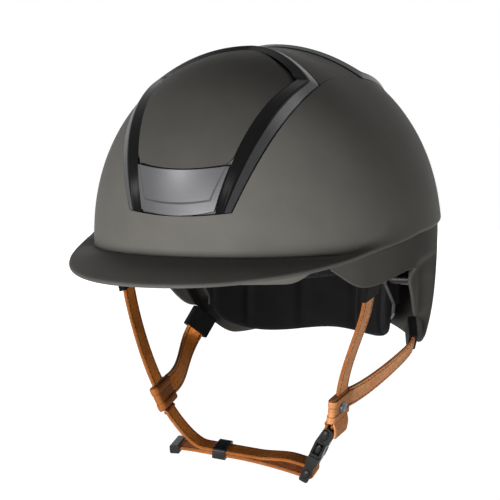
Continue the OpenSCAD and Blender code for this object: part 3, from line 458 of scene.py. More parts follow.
s = Surface("pad_fabric", rough=0.95, specular=0.05, sheen=0.03)
knit, tone = s.math("MULTIPLY", s.wave(560, "DIAGONAL", 0.6), s.wave(560, "Z", 0.6)), s.noise(70, 4.0)
yarn = s.tones(s.math("ADD", knit, tone), 0.4, 1.3, (16, 16, 17), (28, 28, 29))
fabric = s.done(yarn, tone, (0.9, 0.98), (knit, 0.00018, 0.8), (tone, 0.0006, 0.4))

s = Surface("plate_satin", metallic=0.85)
brush, drift = s.noise(1, 4.0, 0.6, (60, 60, 4200)), s.noise(26, 2.0)
satin = s.tones(brush, 0.3, 0.7, (88, 88, 90), (96, 96, 98))
plate = s.done(satin, drift, (0.36, 0.44), (brush, 0.000004, 0.4))

s = Surface("liner_foam", rough=0.9, specular=0.2)
beads = s.cells(330)
foam = s.done(s.tones(beads, 0.1, 0.6, (34, 34, 35), (22, 22, 23)), beads, (0.82, 0.95),
              (beads, -0.00025, 0.6), lo=0)

s = Surface("stud_metal", metallic=0.9)
turning, cloud = s.noise(900, 3.0), s.noise(260, 2.0)
blue = s.tones(cloud, 0.35, 0.65, (70, 78, 90), (98, 106, 118))
stud_m = s.done(blue, turning, (0.25, 0.4), (turning, 0.00002, 0.5))

s = Surface("pin_steel", metallic=1.0)
scratch = s.noise(1, 4.0, 0.6, (400, 3500, 3500))
pin_m = s.done(s.tones(scratch, 0.3, 0.7, (46, 46, 48), (64, 64, 66)), scratch, (0.22, 0.36))

SHELL_TONES, SHELL_ROUGH, SHELL_SPEC = ((97, 95, 91), (104, 102, 97)), (0.5, 0.58), 0.035
shell = grained("shell_matte", *SHELL_TONES, SHELL_ROUGH, specular=SHELL_SPEC)
# Peak: the shell's matte, darker over its middle as painted shade on its upward-facing top
peak_m = grained("shell_matte_peak_painted_shade", *SHELL_TONES, SHELL_ROUGH, specular=SHELL_SPEC,
                 shade_tones=((88, 86, 83), (95, 93, 90)))
# Panels: a darker copy of the shell's matte, as painted shade on the upward-facing crown
panel_shaded_m = grained("shell_matte_panel_painted_shade", (77, 75, 72), (84, 82, 78), SHELL_ROUGH, specular=SHELL_SPEC)
shell_dark = grained("shell_matte_low", (74, 72, 69), (82, 80, 76), (0.56, 0.66), 38, 2300, 0.00004, 0.02)
gloss = grained("frame_gloss", (13, 13, 14), (18, 18, 19), (0.2, 0.28), 60, 420, 0.000012, 0.06)
# Outer bevel of the frames: a lighter grey copy of their black gloss, as painted reflection of the light
gloss_painted_reflection = grained("frame_gloss_painted_reflection", (36, 36, 38), (44, 44, 46), (0.3, 0.4), 60, 420, 0.00002, 0.3)
cradle_m = grained("cradle_plastic", (22, 22, 23), (30, 30, 31), (0.42, 0.55), 80, 900, 0.00005)
rubber = grained("harness_rubber", (14, 14, 15), (22, 22, 23), (0.46, 0.6), 160, 1100, 0.00004, 0.03)
gloss_loop = grained("loop_gloss", (26, 26, 27), (34, 34, 35), (0.2, 0.3), 160, 700, 0.00002, 0.2)
buckle_m = grained("buckle_plastic", (20, 20, 20), (27, 27, 26), (0.26, 0.38), 140, 1300, 0.00004, 0.18)
thread = grained("strap_thread", (206, 150, 106), (222, 170, 128), (0.6, 0.7), 600, 3000, 0.0001)
grille_m = grained("grille_black", (16, 16, 17), (25, 25, 26), (0.35, 0.5), 90, 1000, 0.00004)
tan = leather("strap_leather", (232, 160, 108), (248, 184, 136), (156, 94, 52))
tan_groove = leather("strap_groove", (108, 62, 32), (126, 76, 42), (84, 46, 24))
# Inner faces of the straps: their own deeper orange, made brighter as painted light where the lamps hardly
# reach them
inner_lit_leather = leather("strap_inner_painted_light", (240, 140, 62), (252, 158, 78), (160, 92, 38), (0.55, 0.7))
# Darker leather of the strap edges, also laid over the whole far divider as painted shade
edge_and_shade_leather = leather("strap_edge_and_painted_shade", (158, 94, 46), (176, 108, 56), (112, 64, 30), (0.5, 0.65))
# Leather of the near divider and its tab, lighter than the far divider's: painted light on one leather
near_lit_leather = leather("divider_leather_painted_light", (206, 138, 90), (224, 158, 108), (152, 92, 52))


def settle(obj, slot, *nodes, body="helmet"):
    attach(obj, body)
    if nodes:
        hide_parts(*nodes)


# ---- outer shell and peak


# Share of the flare that a piece covers, how full an edge it ends in, and half a thickness as a share
def edge_pull(a):
    s = clamp((np.abs(a) - SEAM_A) / (END_A - SEAM_A))
    span = np.linalg.norm(rim_point(a) - crease_point(a), axis=-1)
    return s, ease((s - 0.9) / 0.1), PEAK_T / 2 / span


# Rounded edge: points from the top of the flare at w round to its underside
def edge_arc(a, w, full, n=7):
    ahead = vec(sind(a), -cosd(a), 0)
    side = vec(cosd(a), sind(a), 0)
    out = unit(np.cross(side, flare_n(a, w)))
    out = out * np.sign(np.sum(out * ahead, axis=-1, keepdims=True))
    top, low = flare(a, w), under(a, w, PEAK_T)
    mid, rise = (top + low) / 2, (top - low) / 2
    rows = []
    for k in range(1, n):
        phi = math.pi * k / n
        rows.append(mid + rise * math.cos(phi) + out * (PEAK_T / 2 * math.sin(phi)) * full[..., None])
    return rows + [low]


# One section per angle: from the crown's frames down the dome, over the flare, round the edge and up inside
def shell_sections(count=288, rows=34, inner=10):
    a = np.linspace(-180, 180, count, endpoint=False)
    b = np.abs(a)
    ahead, behind = b < ENDS_A, b > 180 - ENDS_A
    u_front, u_rear = b / ENDS_A, (180 - b) / ENDS_A
    along = mix(PLATE_CORNER, REAR_END, (b - ENDS_A) / (180 - 2 * ENDS_A))
    th = np.where(ahead, plate_low_th(u_front), np.where(behind, rear_low_th(u_rear), along))
    half = np.where(ahead, u_front * F_LO, np.where(behind, u_rear * F_REAR_LO, frame_out(th)))
    top = over_dir(half * np.sign(a + 1e-9), th)
    crease = unit(crease_point(a))
    s, full, back = edge_pull(a)
    w_end = s - full * back
    drop = ease((b - 31) / 11)
    foot_z = mix(FOREHEAD_Z, rim_height(a) - PEAK_T, drop)
    cols = []
    for i in range(rows + 1):
        p = (1 + FLARE_SHARE * w_end) * i / rows
        on_dome = dome(mix(top, crease, np.minimum(p, 1)[:, None]))
        on_flare = flare(a, np.maximum(p - 1, 0) / FLARE_SHARE)
        cols.append(np.where((p <= 1)[:, None], on_dome, on_flare))
    share = clamp(4 * s)[:, None]
    plain = wall_at(a, CREASE_Z - 2 * GAP, -GAP)
    for k, row in enumerate(edge_arc(a, w_end, full)):
        cols.append(mix(mix(cols[rows], plain, (k + 1) / 7), row, share))
    inner_foot = wall_at(a, foot_z, -WALL)
    cols += [wall_at(a, foot_z, -mix(GAP, STEP * 0.7, drop)), inner_foot]
    for i in range(inner - 1, -1, -1):
        cols.append(dome(mix(top, unit(inner_foot), i / inner), -WALL))
    return np.stack(cols, axis=1)


def peak_sections(step=1.25, rows=16, inner=11):
    a = np.r_[-60.9, -60.5, np.arange(-60, 60.01, step), 60.5, 60.9]
    s, full, back = edge_pull(a)
    w0 = s - full * back
    w1 = np.maximum(1 - back, w0 + 0.0005)
    cols = [flare(a, mix(w0, w1, i / rows)) for i in range(rows + 1)]
    cols += edge_arc(a, w1, np.ones(len(a)))
    root = mix(PEAK_ROOT_T, PEAK_T * 0.8, clamp(3 * s))
    for i in range(inner - 1, -1, -1):
        w = np.maximum(mix(w0, w1, i / inner), 0.02)
        cols.append(under(a, w, mix(root, PEAK_T, math.sqrt(i / inner))))
    return np.stack(cols, axis=1)


settle(loft("shell", shell_sections(), [shell], closed=True, sharp=42), "shell_matte", "outer_shell")
peak_rings = peak_sections()
peak_obj = loft("peak_skin", peak_rings, [peak_m], sharp=42)
# Attribute 'middle': 1 over the peak's middle, fading to 0 towards its ends; it sets where the painted shade
# lies
peak_a = np.degrees(np.arctan2(peak_rings[..., 0], -peak_rings[..., 1])).ravel()
peak_obj.data.attributes.new("middle", "FLOAT", "POINT").data.foreach_set(
    "value", (1 - ease((np.abs(peak_a) - 42) / 16)).astype(np.float32))
settle(peak_obj, "shell_matte", "peak")

# ---- crown: seat, panels, frames


# Sheet on the crown through rows of (angles to the side, angles from front to rear, heights)
def crown_sheet(name, rows, low_off, mat, bevel, sharp=35):
    top = np.array([over(ph, th, off) for ph, th, off in rows])
    low = np.array([over(ph, th, low_off) for ph, th, off in rows])
    return loft(name, np.concatenate([top, low[:, ::-1]], axis=1), [mat], bevel=bevel, sharp=sharp)


def seat_rows():
    u = np.linspace(-1, 1, 41)
    rows = [(mix(plate_low_th(u) + GAP_DEG, bar_th(u), v), -SEAT) for v in span(24)]
    rows += [(mix(bar_th(u), rear_bar_th(u), v), -0.2) for v in (0.02, 0.1, 0.25, 0.4, 0.6, 0.75, 0.9, 0.98)]
    rows += [(mix(rear_bar_th(u), REAR_PANEL_TH, v), -SEAT) for v in span(4)]
    return [(u * (frame_out(th[0]) - GAP_DEG), th, off) for th, off in rows]


def panel_rows():
    u = np.linspace(-1, 1, 49)
    rows = []
    for v in np.r_[np.linspace(0, 0.1, 9), np.linspace(0.14, 0.86, 26), np.linspace(0.88, 1, 12)]:
        th = mix(plate_top_th(u) + 2 * GAP_DEG, bar_th(u) - BAR_W - GAP_DEG, v)
        nip = 1 - 0.09 * clamp(1 - v / 0.08) ** 2 - 0.14 * clamp((v - 0.86) / 0.14) ** 2
        rows.append((u * ((frame_in(th[0]) - GAP_DEG) * nip), th, -0.4))
    return rows


# The plate, with a raised field inside a low margin
def plate_rows(margin=0.2, raised=0.8):
    rows = []
    for v in np.r_[np.linspace(0, 0.25, 5), np.linspace(0.29, 1, 12)]:
        field = mix(0.76, 0.93, v)
        u = np.r_[-1, -field - 0.04, np.linspace(-field, field, 27), field + 0.04, 1]
        th = mix(plate_low_th(u) + GAP_DEG, plate_top_th(u) - GAP_DEG, v)
        lift = np.full(len(u), margin + (raised if v > 0.27 else 0.0))
        lift[[0, 1, -2, -1]] = margin
        rows.append((u * (frame_in(th[0]) - GAP_DEG), th, lift))
    return rows


settle(crown_sheet("seat", seat_rows(), -WALL, shell, 0.3), "shell_matte", "crown_seat")
settle(crown_sheet("panel_front", panel_rows(), FLOOR_OFF, panel_shaded_m, 0.45), "shell_matte", "front_panel")
settle(crown_sheet("plate", plate_rows(), FLOOR_OFF, plate, 0.3, 25), "plate_satin", "front_plate")


# Frame section as (share across, height): flat inner band, crest with a small radius, bevelled outer face
FRAME_SECTION = (
    (0, FLOOR_OFF), (0, -0.65), (0.03, -0.45), (0.2, 0.35), (0.42, 1.62), (0.47, 1.93), (0.5, 2),
    (0.54, 1.93), (0.6, 1.66), (0.8, 0.98), (0.96, 0.42), (1, 0.2), (1, FLOOR_OFF), (0.5, FLOOR_OFF))
# Columns of the outer bevel, whose faces take the lighter gloss as painted reflection
BEVEL_COLUMNS = {8, 9, 10}


def frame_loft(name, stations):
    other = [((-i[0], i[1]), (-o[0], o[1])) for i, o in stations[-2::-1]]
    cuts = []
    for i, o in stations + other:
        a, b = over_dir(*i), over_dir(*o)
        cuts.append([dome(mix(a, b, t), off) for t, off in FRAME_SECTION])
    obj = loft(name, cuts, [gloss, gloss_painted_reflection], sharp=32)
    for face in obj.data.polygons:
        columns = {v % len(FRAME_SECTION) for v in face.vertices}
        face.material_index = 1 if columns <= BEVEL_COLUMNS else 0
    return obj


def smooth_stations(stations, per=4):
    pts = np.array([[*i, *o] for i, o in stations])
    out = []
    for k in range(len(pts) - 1):
        p0, p1, p2, p3 = pts[max(k - 1, 0)], pts[k], pts[k + 1], pts[min(k + 2, len(pts) - 1)]
        for t in np.arange(per) / per:
            out.append(0.5 * (2 * p1 + (p2 - p0) * t + (2 * p0 - 5 * p1 + 4 * p2 - p3) * t * t
                              + (3 * p1 - p0 - 3 * p2 + p3) * t ** 3))
    return [(q[:2], q[2:]) for q in out + [pts[-1]]]


# Stations of a frame as (inner point, outer point), each an angle to the side and one from front to rear
def side_stations(first, last, steps, inner):
    angles = [mix(first, last, i / 9) for i in steps]
    return [((inner(t), t), (frame_out(t) - GAP_DEG, t)) for t in angles]


# Round a frame's corner and along its bar to the middle; way is 1 where the corner lies behind the bar
def bar_stations(half, corner, mid, way, nips):
    turn = [((half - nips[0], corner + way * 4.6), (F_HI - g, corner + way * 2.6)),
            ((half - nips[1], corner + way * 3.9), (F_HI - 0.5, corner + way * g))]
    return turn + [((u * half, mid(u) + way * BAR_W), (u * F_HI, mid(u) + way * g))
                   for u in (0.84, 0.6, 0.36, 0.16, 0)]


g = GAP_DEG
front_st = [((IN_LO, plate_low_th(IN_LO / F_LO) + g), (F_LO - g, PLATE_CORNER + g))]
front_st += side_stations(PLATE_CORNER, CORNER - 8, range(1, 10), frame_in)
front_st += bar_stations(IN_HI, CORNER, bar_th, -1, (0.6, 1.8))
rear_st = side_stations(REAR_END - 0.5, REAR_CORNER + 7, range(10), lambda t: frame_out(t) - REAR_BAND)
rear_st += bar_stations(F_HI - REAR_BAND, REAR_CORNER, rear_bar_th, 1, (0.8, 2))
for end, stations in (("front", front_st), ("rear", rear_st)):
    settle(frame_loft("frame_" + end, smooth_stations(stations)), "frame_gloss", end + "_frame")

WINDOW_U, WINDOW_V = 0.62, (0.4, 0.78)


def rear_point(u, v, off):
    th = mix(rear_bar_th(u) + BAR_W + 5 * g, rear_low_th(u) - g, v)
    edge = mix(rear_bar_th(1.0) + BAR_W + g, REAR_END - g, v)
    return over(u * (frame_out(edge) - REAR_BAND - g), th, off)


# The rear panel, as a ring of sections from the edge of its window to its outer edge
def build_rear_panel(n=22, rings=8):
    sections = []
    for i in range(4 * n):
        s, t = i // n, 2 * (i % n) / n - 1
        q = ((t, -1), (1, t), (-t, 1), (-1, -t))[s]
        inner = A(q[0] * WINDOW_U, mix(*WINDOW_V, (q[1] + 1) / 2))
        cut = [mix(inner, A(q[0], (q[1] + 1) / 2), k / rings) for k in range(rings + 1)]
        faces = (-0.4, cut), (FLOOR_OFF, cut[::-1])
        sections.append([rear_point(*c, off) for off, row in faces for c in row])
    return loft("panel_rear", sections, [panel_shaded_m], closed=True, bevel=0.4)


settle(build_rear_panel(), "shell_matte", "rear_panel")

# ---- lower shell


def scoop(a, z):
    b = np.abs(a)
    rear = SCOOP_A + 0.35 * np.maximum(0, -z - 30)
    return 10 * ease((b - EAR_A) / 14) * (1 - ease((b - rear) / 8)) * ease((-13 - z) / 14)


# Height of an edge that runs in eased steps, each given as (angle, height) at its start and its end
def stepped(a, steps):
    b = np.abs(a)
    z = step_to(b, *steps[-1])
    for step in steps[-2::-1]:
        z = np.where(b < step[2], step_to(b, *step), z)
    return z


def lower_edge(a):
    return stepped(a, (
        (START_A - 7.5, TEMPLE_Z + 17.5, TEMPLE_A, TEMPLE_Z), (TEMPLE_A, TEMPLE_Z, EAR_A, EAR_Z),
        (EAR_A, EAR_Z, NOTCH_A, NOTCH_Z), (NOTCH_A - 1, NOTCH_Z, LOBE_A, LOBE_Z),
        (LOBE_A, LOBE_Z, 180, NAPE_Z)))


def build_lower(rows=40):
    half = np.r_[np.linspace(START_A, EAR_A, 44), np.linspace(EAR_A, 130, 60)[1:],
                 np.linspace(130, 180, 40)[1:]]
    a = np.r_[half, 360 - half[-2::-1]]
    a = np.where(a > 180, a - 360, a)
    top, low = rim_height(a) - PEAK_T - GAP, lower_edge(a)
    heights = [mix(top, low, j / rows) for j in range(rows + 1)]
    outer, inner = ([wall_at(a, z, -STEP - depth - scoop(a, z)) for z in heights] for depth in (0, L_WALL))
    down = unit(outer[-1] - outer[-2])
    edge = []
    for k in range(1, 5):
        phi = math.pi * k / 5
        edge.append(mix(outer[-1], inner[-1], (1 - math.cos(phi)) / 2) + down * 0.9 * math.sin(phi))
    return loft("shell_low", np.stack(outer + edge + inner[::-1], axis=1), [shell_dark], sharp=42)


settle(build_lower(), "shell_matte", "lower_shell")

# ---- liner and pads

LINER_OUT = -(STEP + L_WALL + 0.8)
LINER_TOP = -(WALL + 0.8 + GAP)
LINER_IN = LINER_TOP - LINER_T
PAD_BACK = LINER_IN - 0.8
NAPE_BACK = LINER_IN - CRADLE_SPACE - CRADLE_T - 2 * GAP
SPLIT = 34.0


def liner_edge(a):
    return stepped(a, (
        (31, FOREHEAD_Z + 2.5, TEMPLE_A, TEMPLE_Z + 9), (TEMPLE_A, TEMPLE_Z + 9, EAR_A, EAR_Z + 4),
        (EAR_A, EAR_Z + 4, CRADLE_A, EAR_Z - 1), (CRADLE_A, EAR_Z - 1, 180, NAPE_Z + 25)))


def liner_skin(b, e):
    d = round_dir(b, e)
    p = dome(d, LINER_OUT)
    return dome(d, np.where(p[..., 2] > 15, LINER_TOP, LINER_OUT) - scoop(b, p[..., 2]))


# Both parts of the liner, which meet at a gap at the height SPLIT
def build_liner(n=168, rows=20):
    a = np.linspace(-180, 180, n, endpoint=False)
    z = SPLIT + GAP / 2
    e0, e1 = elev(a, z, LINER_TOP), elev(a, z, LINER_IN)
    up = [dome(round_dir(a, mix(90, e0, j / rows)), LINER_TOP) for j in range(1, rows + 1)]
    up += [dome(round_dir(a, mix(90, e1, j / rows)), LINER_IN) for j in range(rows, 0, -1)]
    upper = cup("liner_crown", np.stack(up, axis=1), LINER_TOP, LINER_IN, foam)
    z, low = SPLIT - GAP / 2, liner_edge(a)
    o0, o1 = elev(a, z, LINER_TOP), elev(a, low, LINER_OUT)
    i0, i1 = elev(a, z, LINER_IN), elev(a, low, LINER_IN)
    ring = [liner_skin(a, mix(o0, o1, j / rows)) for j in range(rows + 1)]
    ring += [dome(round_dir(a, mix(i0, i1, j / rows)), LINER_IN) for j in range(rows, -1, -1)]
    return upper, loft("liner_ring", np.stack(ring, axis=1), [foam], closed=True, bevel=1.2)


for liner, node in zip(build_liner(), ("liner_upper", "liner_lower")):
    settle(liner, "liner_foam", node)


# Fullness across a pad: 1 in its middle, and round down to 0 at both ends
def crown(t):
    return np.maximum(0, 1 - np.abs(2 * t - 1) ** 3) ** 0.5


# Pad from angle a0 to a1, with sewn channels at shares of its length
def cushion(name, a0, a1, low, high, back, t, cols, rows, channels, channel_w):
    sections = []
    v = span(rows)
    for i in range(cols + 1):
        u = i / cols
        a = mix(a0, a1, u)
        a = a - 360 if a > 180 else a
        sewn = 1 - 0.45 * max(math.exp(-((u - at) / channel_w) ** 2) for at in channels)
        soft = mix(0.3, 1, crown(u) * crown(v)) * sewn
        ripple = 0.25 * np.sin(v * 9 + 5 * math.sin(7 * u)) * crown(u) * crown(v)
        outer = wall_at(a, mix(low(a), high, v), back)
        inner = wall_at(a, mix(low(a), high, mix(0.02, 0.98, v)), back - t * soft + ripple)
        sections.append(np.concatenate([outer, inner[::-1]]))
    return loft(name, sections, [fabric], bevel=1.0, sharp=60)


def build_crown_pad(n=120):
    a = np.linspace(0, 360, n, endpoint=False)
    reach = 44 * (1 + 0.08 * cosd(4 * a))
    fold = 1 - 0.45 * np.exp(-(sind(2 * a + 90) / 0.45) ** 2)
    shares = [0.12, 0.25, 0.4, 0.55, 0.68, 0.78, 0.86, 0.92, 0.97, 1]
    cols = [dome(round_dir(a, 90 - w * reach), PAD_BACK) for w in shares]
    for w in reversed(shares):
        thick = mix(0.3, 1, math.sqrt(1 - w ** 4)) * mix(1, fold, w)
        cols.append(dome(round_dir(a, 90 - w * reach * 0.99), PAD_BACK - PAD_T * thick))
    return cup("pad_crown", np.stack(cols, axis=1), PAD_BACK, PAD_BACK - PAD_T, fabric, sharp=60)


# The nape pad's lower edge, lowest in the middle and rounded up at both ends
def nape_low(a):
    b = 180 - abs(a)
    corner = clamp((b - 46) / 8)
    return (mix(NAPE_Z - 9, NAPE_Z - 11.2, ease(b / 20)) + 13.5 * clamp((b - 22) / 32) ** 1.8
            + 4 * (1 - np.sqrt(np.maximum(0, 1 - corner ** 2))))


def side_pad(label, side):
    return cushion("pad_" + label, side * 58, side * 98, lambda a: liner_edge(a) + 2, 26.0, PAD_BACK, PAD_T,
                   64, 24, (0.33, 0.67), 0.04)


for pad, node, body in (
        (build_crown_pad(), "crown_pad", "helmet"),
        (cushion("pad_front", -46, 46, lambda a: liner_edge(a) + 1, 6.0, PAD_BACK, PAD_T, 120, 24,
                 (0.2, 0.4, 0.6, 0.8), 0.025), "front_pad", "helmet"),
        (side_pad("left", 1), "side_pad_left", "helmet"), (side_pad("right", -1), "side_pad_right", "helmet"),
        (cushion("pad_nape", 126, 234, nape_low, -27.0, NAPE_BACK, NAPE_T, 160, 28,
                 (18 / 108, 42 / 108, 66 / 108, 90 / 108), 0.018), "nape_pad", "cradle")):
    settle(pad, "pad_fabric", node, body=body)

# ---- straps


def bezier(p, t):
    t = np.asarray(t, float)[:, None]
    s = 1 - t
    p = np.asarray(p, float)
    return p[0] * s ** 3 + p[1] * 3 * s * s * t + p[2] * 3 * s * t * t + p[3] * t ** 3


# Section of a strap as (across, up): rounded edges, each with a stitch groove and a shallow crease beside it
def strap_profile():
    half_w, half_t = STRAP_W / 2, STRAP_T / 2
    face = [(half_w - x, half_t - y) for x, y in (
        (0.25, 0.55), (0.75, 0.12), (1.2, 0), (1.75, 0.05), (2.3, 0.32), (2.85, 0.05), (3.6, 0), (5.2, 0),
        (5.6, 0.1), (6.0, 0))]
    full = [(half_w, 0)] + face + [(0, half_t)] + [(-x, y) for x, y in reversed(face)] + [(-half_w, 0)]
    return np.array(full + [(x, -y) for x, y in reversed(full[1:-1])])


PROFILE = strap_profile()
EDGE_FROM, GROOVE_UNDER = STRAP_W / 2 - 0.9, STRAP_T / 2 - 0.24
FACE, EDGE, INNER, GROOVE = 0, 1, 2, 3


# Strap along a path, with the direction of its width and of its face at each point
def strap_object(name, path, wide, face, shift=None, outer_side=1):
    m = len(PROFILE)
    centre = path if shift is None else path + wide * shift[:, None]
    across, up = PROFILE[None, :, 0:1], PROFILE[None, :, 1:2]
    points = (centre[:, None] + wide[:, None] * across + face[:, None] * up).reshape(-1, 3)
    faces = outward(points, loft_faces(len(path), m, False))
    marks = []
    for f in faces:
        corners = PROFILE[[i % m for i in f]]
        reach, rise = np.abs(corners).min(axis=0)
        inner = (sum(corners[:, 1]) > 0) != (outer_side > 0)
        side = INNER if inner else FACE
        marks.append(EDGE if reach > EDGE_FROM else GROOVE if rise < GROOVE_UNDER else side)
    return new_object(name, points, faces, [tan, edge_and_shade_leather, inner_lit_leather, tan_groove], marks, sharp=50)


STITCH = ((-0.5, 0.3), (-0.3, 0.85), (0, 1.0), (0.3, 0.85), (0.5, 0.3))


# Rows of stitches along a path, at offsets across it and up from it, lying in the grooves
def stitches(name, path, wide, face, offsets=(-5.2, 5.2), up=(0.8, -0.8), pitch=3.1, length=2.2, radius=0.28,
             skip=(3.0, 3.0), body="helmet"):
    run = np.r_[0, np.cumsum(np.linalg.norm(np.diff(path, axis=0), axis=1))]
    wide, face = np.broadcast_to(wide, path.shape), np.broadcast_to(face, path.shape)

    def along(s, rows):
        return np.array([np.interp(s, run, rows[:, c]) for c in range(3)])
    points, faces = [], []
    for k in range(int((run[-1] - skip[0] - skip[1]) / pitch)):
        s = skip[0] + (k + 0.5) * pitch
        at, w, f = along(s, path), unit(along(s, wide)), unit(along(s, face))
        t = unit(along(s + 0.5, path) - at)
        for off in offsets:
            for h in up:
                faces += loft_faces(len(STITCH), 6, False, len(points))
                for x, r in STITCH:
                    mid = at + w * off + f * h + t * x * length
                    points += [mid + (w * cx + f * cy) * radius * r for cx, cy in circle(6)]
    settle(new_object(name, points, faces, [thread], sharp=80), "strap_leather", body=body)


RAKE = 17


# Axes of a divider: through it, along it to the rear, and up
def divider_axes(lean):
    c, s, cr, sr = cosd(lean), sind(lean), cosd(RAKE), sind(RAKE)
    return A(c, 0, -s), A(s * sr, cr, c * sr), A(s * cr, -sr, c * cr)


def tangents(path):
    return unit(np.vstack([path[1:], path[-1:]]) - np.vstack([path[:1], path[:-1]]))


RIGHT_DIV, LEFT_DIV = A(-61.8, -38, -111), A(64.2, -27.5, -113)
SIDES = ((1, LEFT_DIV, 14, "left"), (-1, RIGHT_DIV, -19, "right"))
SLEEVE = A(HALF_W - 18.3, -35.3, 0)
SLEEVE[2] = liner_edge(math.degrees(math.atan2(SLEEVE[0], -SLEEVE[1]))) - 1.6
SLEEVE_H, SLEEVE_LEAN = 21.0, 12
GUIDE, GUIDE_TILT, GUIDE_TURN, GUIDE_H = A(HALF_W - 30, REAR - 84.5, LOBE_Z + 9.6), 35, 31, 15.0


# Strap from a sleeve or guide, where it leaves at n0, to the face of a divider
def harness_strap(kind, side, label, path, n0, n1, t):
    normals = np.vstack([n0, mix(n0, n1 * side, t[:, None])])
    tang = tangents(path)
    wide = unit(np.cross(tang, normals))
    face = unit(np.cross(wide, tang))
    obj = strap_object("strap_%s_%s" % (kind, label), path, wide, face, outer_side=side * face[30][0])
    settle(obj, "strap_leather", "%s_strap_%s" % (kind, label))
    stitches("sewing_%s_%s" % (kind, label), path[1:], wide[1:], face[1:])


def front_strap(side, divider, lean, label):
    ax, t, flip = divider_axes(lean), span(59), A(side, 1, 1)
    end = divider + ax[2] * (8.5 + 0.9) + ax[1] * 4 * max(0, side)
    s, c = sind(SLEEVE_LEAN), cosd(SLEEVE_LEAN)
    down = flip * A(-s, 0, -c)
    start = flip * SLEEVE + down * 3
    leave = start + down * SLEEVE_H
    path = np.vstack([start, bezier([leave, leave + down * 16, end + ax[2] * 20, end], t)])
    harness_strap("front", side, label, path, flip * A(c, 0, -s), ax[0], t)


def rear_strap(side, divider, lean, label, drop, pull, early):
    ax, t, flip = divider_axes(lean), span(59), A(side, 1, 1)
    end = divider + ax[1] * (11.5 + 1.1) + ax[2]
    st, ct = sind(GUIDE_TILT), cosd(GUIDE_TILT)
    turn_s, turn_c = sind(GUIDE_TURN), cosd(GUIDE_TURN)
    down = flip * A(turn_s * st, -turn_c * st, -ct)
    leave = flip * GUIDE + down * (GUIDE_H / 2 + 1)
    run = bezier([leave, leave + down * drop, end + flip * pull, end], t)
    path = np.vstack([flip * GUIDE - down * 4, run])
    harness_strap("rear", side, label, path, flip * A(turn_c, turn_s, 0), ax[0], t ** early)


for s_ in SIDES:
    front_strap(*s_)
rear_strap(*SIDES[0], 4, (4, 24, 2), 3)
rear_strap(*SIDES[1], 20, (2, 28, 5), 0.6)

# ---- chin strap in its own plane

HINGE = A(-56, -39.2, -120.7)
TURN, TILT = math.radians(9), math.radians(90 + 13.5)
PLANE = np.array(Matrix.Rotation(TURN, 3, "Z") @ Matrix.Rotation(TILT, 3, "X"))
BUCKLE_TILT, BUCKLE_AT = 62.4, A(100.6, -31.5)
BUCKLE_N = A(sind(BUCKLE_TILT), -cosd(BUCKLE_TILT))
BUCKLE_A = A(cosd(BUCKLE_TILT), sind(BUCKLE_TILT))
BAR_D, LAYER, BAR_OFF = 4.6, 0.35, 8.6
LOOP_R = BAR_D / 2 + LAYER + STRAP_T / 2
SOCKET_FOOT, SOCKET_LEN = 6.8, 23.7


def in_plane(uv, w=0.0):
    uv = np.atleast_2d(uv)
    return HINGE + np.column_stack([uv, np.full(len(uv), w)]) @ PLANE.T


def in_buckle(x, y):
    return BUCKLE_AT + BUCKLE_N * x + BUCKLE_A * y


# Point of the buckle's own frame: x through it, y along it, z across it
def buckle_point(x, y, z):
    return in_plane(in_buckle(x, y), z)[0]


# Path in the plane of the chin strap, with the directions of the strap's width and face
def plane_frames(uv):
    tang, n = tangents(uv), len(uv)
    face = np.column_stack([-tang[:, 1], tang[:, 0], np.zeros(n)]) @ PLANE.T
    return in_plane(uv), np.tile(PLANE @ A(0, 0, 1), (n, 1)), face


def loop_path(centre, a0, a1, n):
    return np.array([in_buckle(centre[0] + LOOP_R * cosd(a), centre[1] + LOOP_R * sind(a))
                     for a in np.linspace(a0, a1, n)])


# Upper strand from S0 to the buckle's bar, round it, and the lower strand back under it to the tail
S0, S1 = A(24.2, -25.24), A(60, -30)
ST = unit(S1 - S0)
BELOW = A(ST[1], -ST[0]) * (STRAP_T + LAYER)
UP_MID, TAIL = A(87.5, -32), A(6.8, -26)
UP_END, LOW_START = in_buckle(-0.6, -BAR_OFF + LOOP_R), in_buckle(0, -BAR_OFF - LOOP_R)
LOW_END = mix(S1, S0, 0.3) + BELOW
chin_path, chin_wide, chin_face = plane_frames(np.vstack([
    bezier([A(0, 0), A(3.8, -7), S0 - ST * 9.5, S0], span(24)),
    mix(S0, S1, span(8)[1:-1, None]),
    bezier([S1, S1 + ST * 10, UP_MID - A(9, -2.4), UP_MID], span(16)),
    bezier([UP_MID, UP_MID + A(3.8, -1.1), UP_END - BUCKLE_N * 4, UP_END], span(12)[1:]),
    loop_path(A(0, -BAR_OFF), 84, -90, 24),
    bezier([LOW_START, LOW_START - BUCKLE_N * 5, A(66, -33.6), LOW_END], span(24)[1:]),
    mix(LOW_END, S0 + BELOW, span(8)[1:-1, None]),
    bezier([S0 + BELOW, A(18.8, -26.9), A(12.8, -26.4), TAIL], span(14)),
]))
settle(strap_object("strap_chin", chin_path, chin_wide, chin_face, outer_side=-1),
       "strap_leather", "chin_strap", body="chin")
stitches("sewing_chin", chin_path, chin_wide, chin_face, skip=(5, 9), body="chin")


# Rolled leather where the chin strap turns round the hinge of the right divider
def hinge_roll(radius=1.56, width=STRAP_W + 0.6, rows=9, ring=20):
    points = []
    for x in np.linspace(-0.5, 0.5, rows):
        r = radius * (1 - 0.12 * (abs(2 * x) ** 6))
        points += [in_plane(A(c, s) * r, x * width)[0] for c, s in circle(ring)]
    return new_object("strap_hinge_roll", points, outward(points, loft_faces(rows, ring, False)), [edge_and_shade_leather])


settle(hinge_roll(), "strap_leather", body="chin")

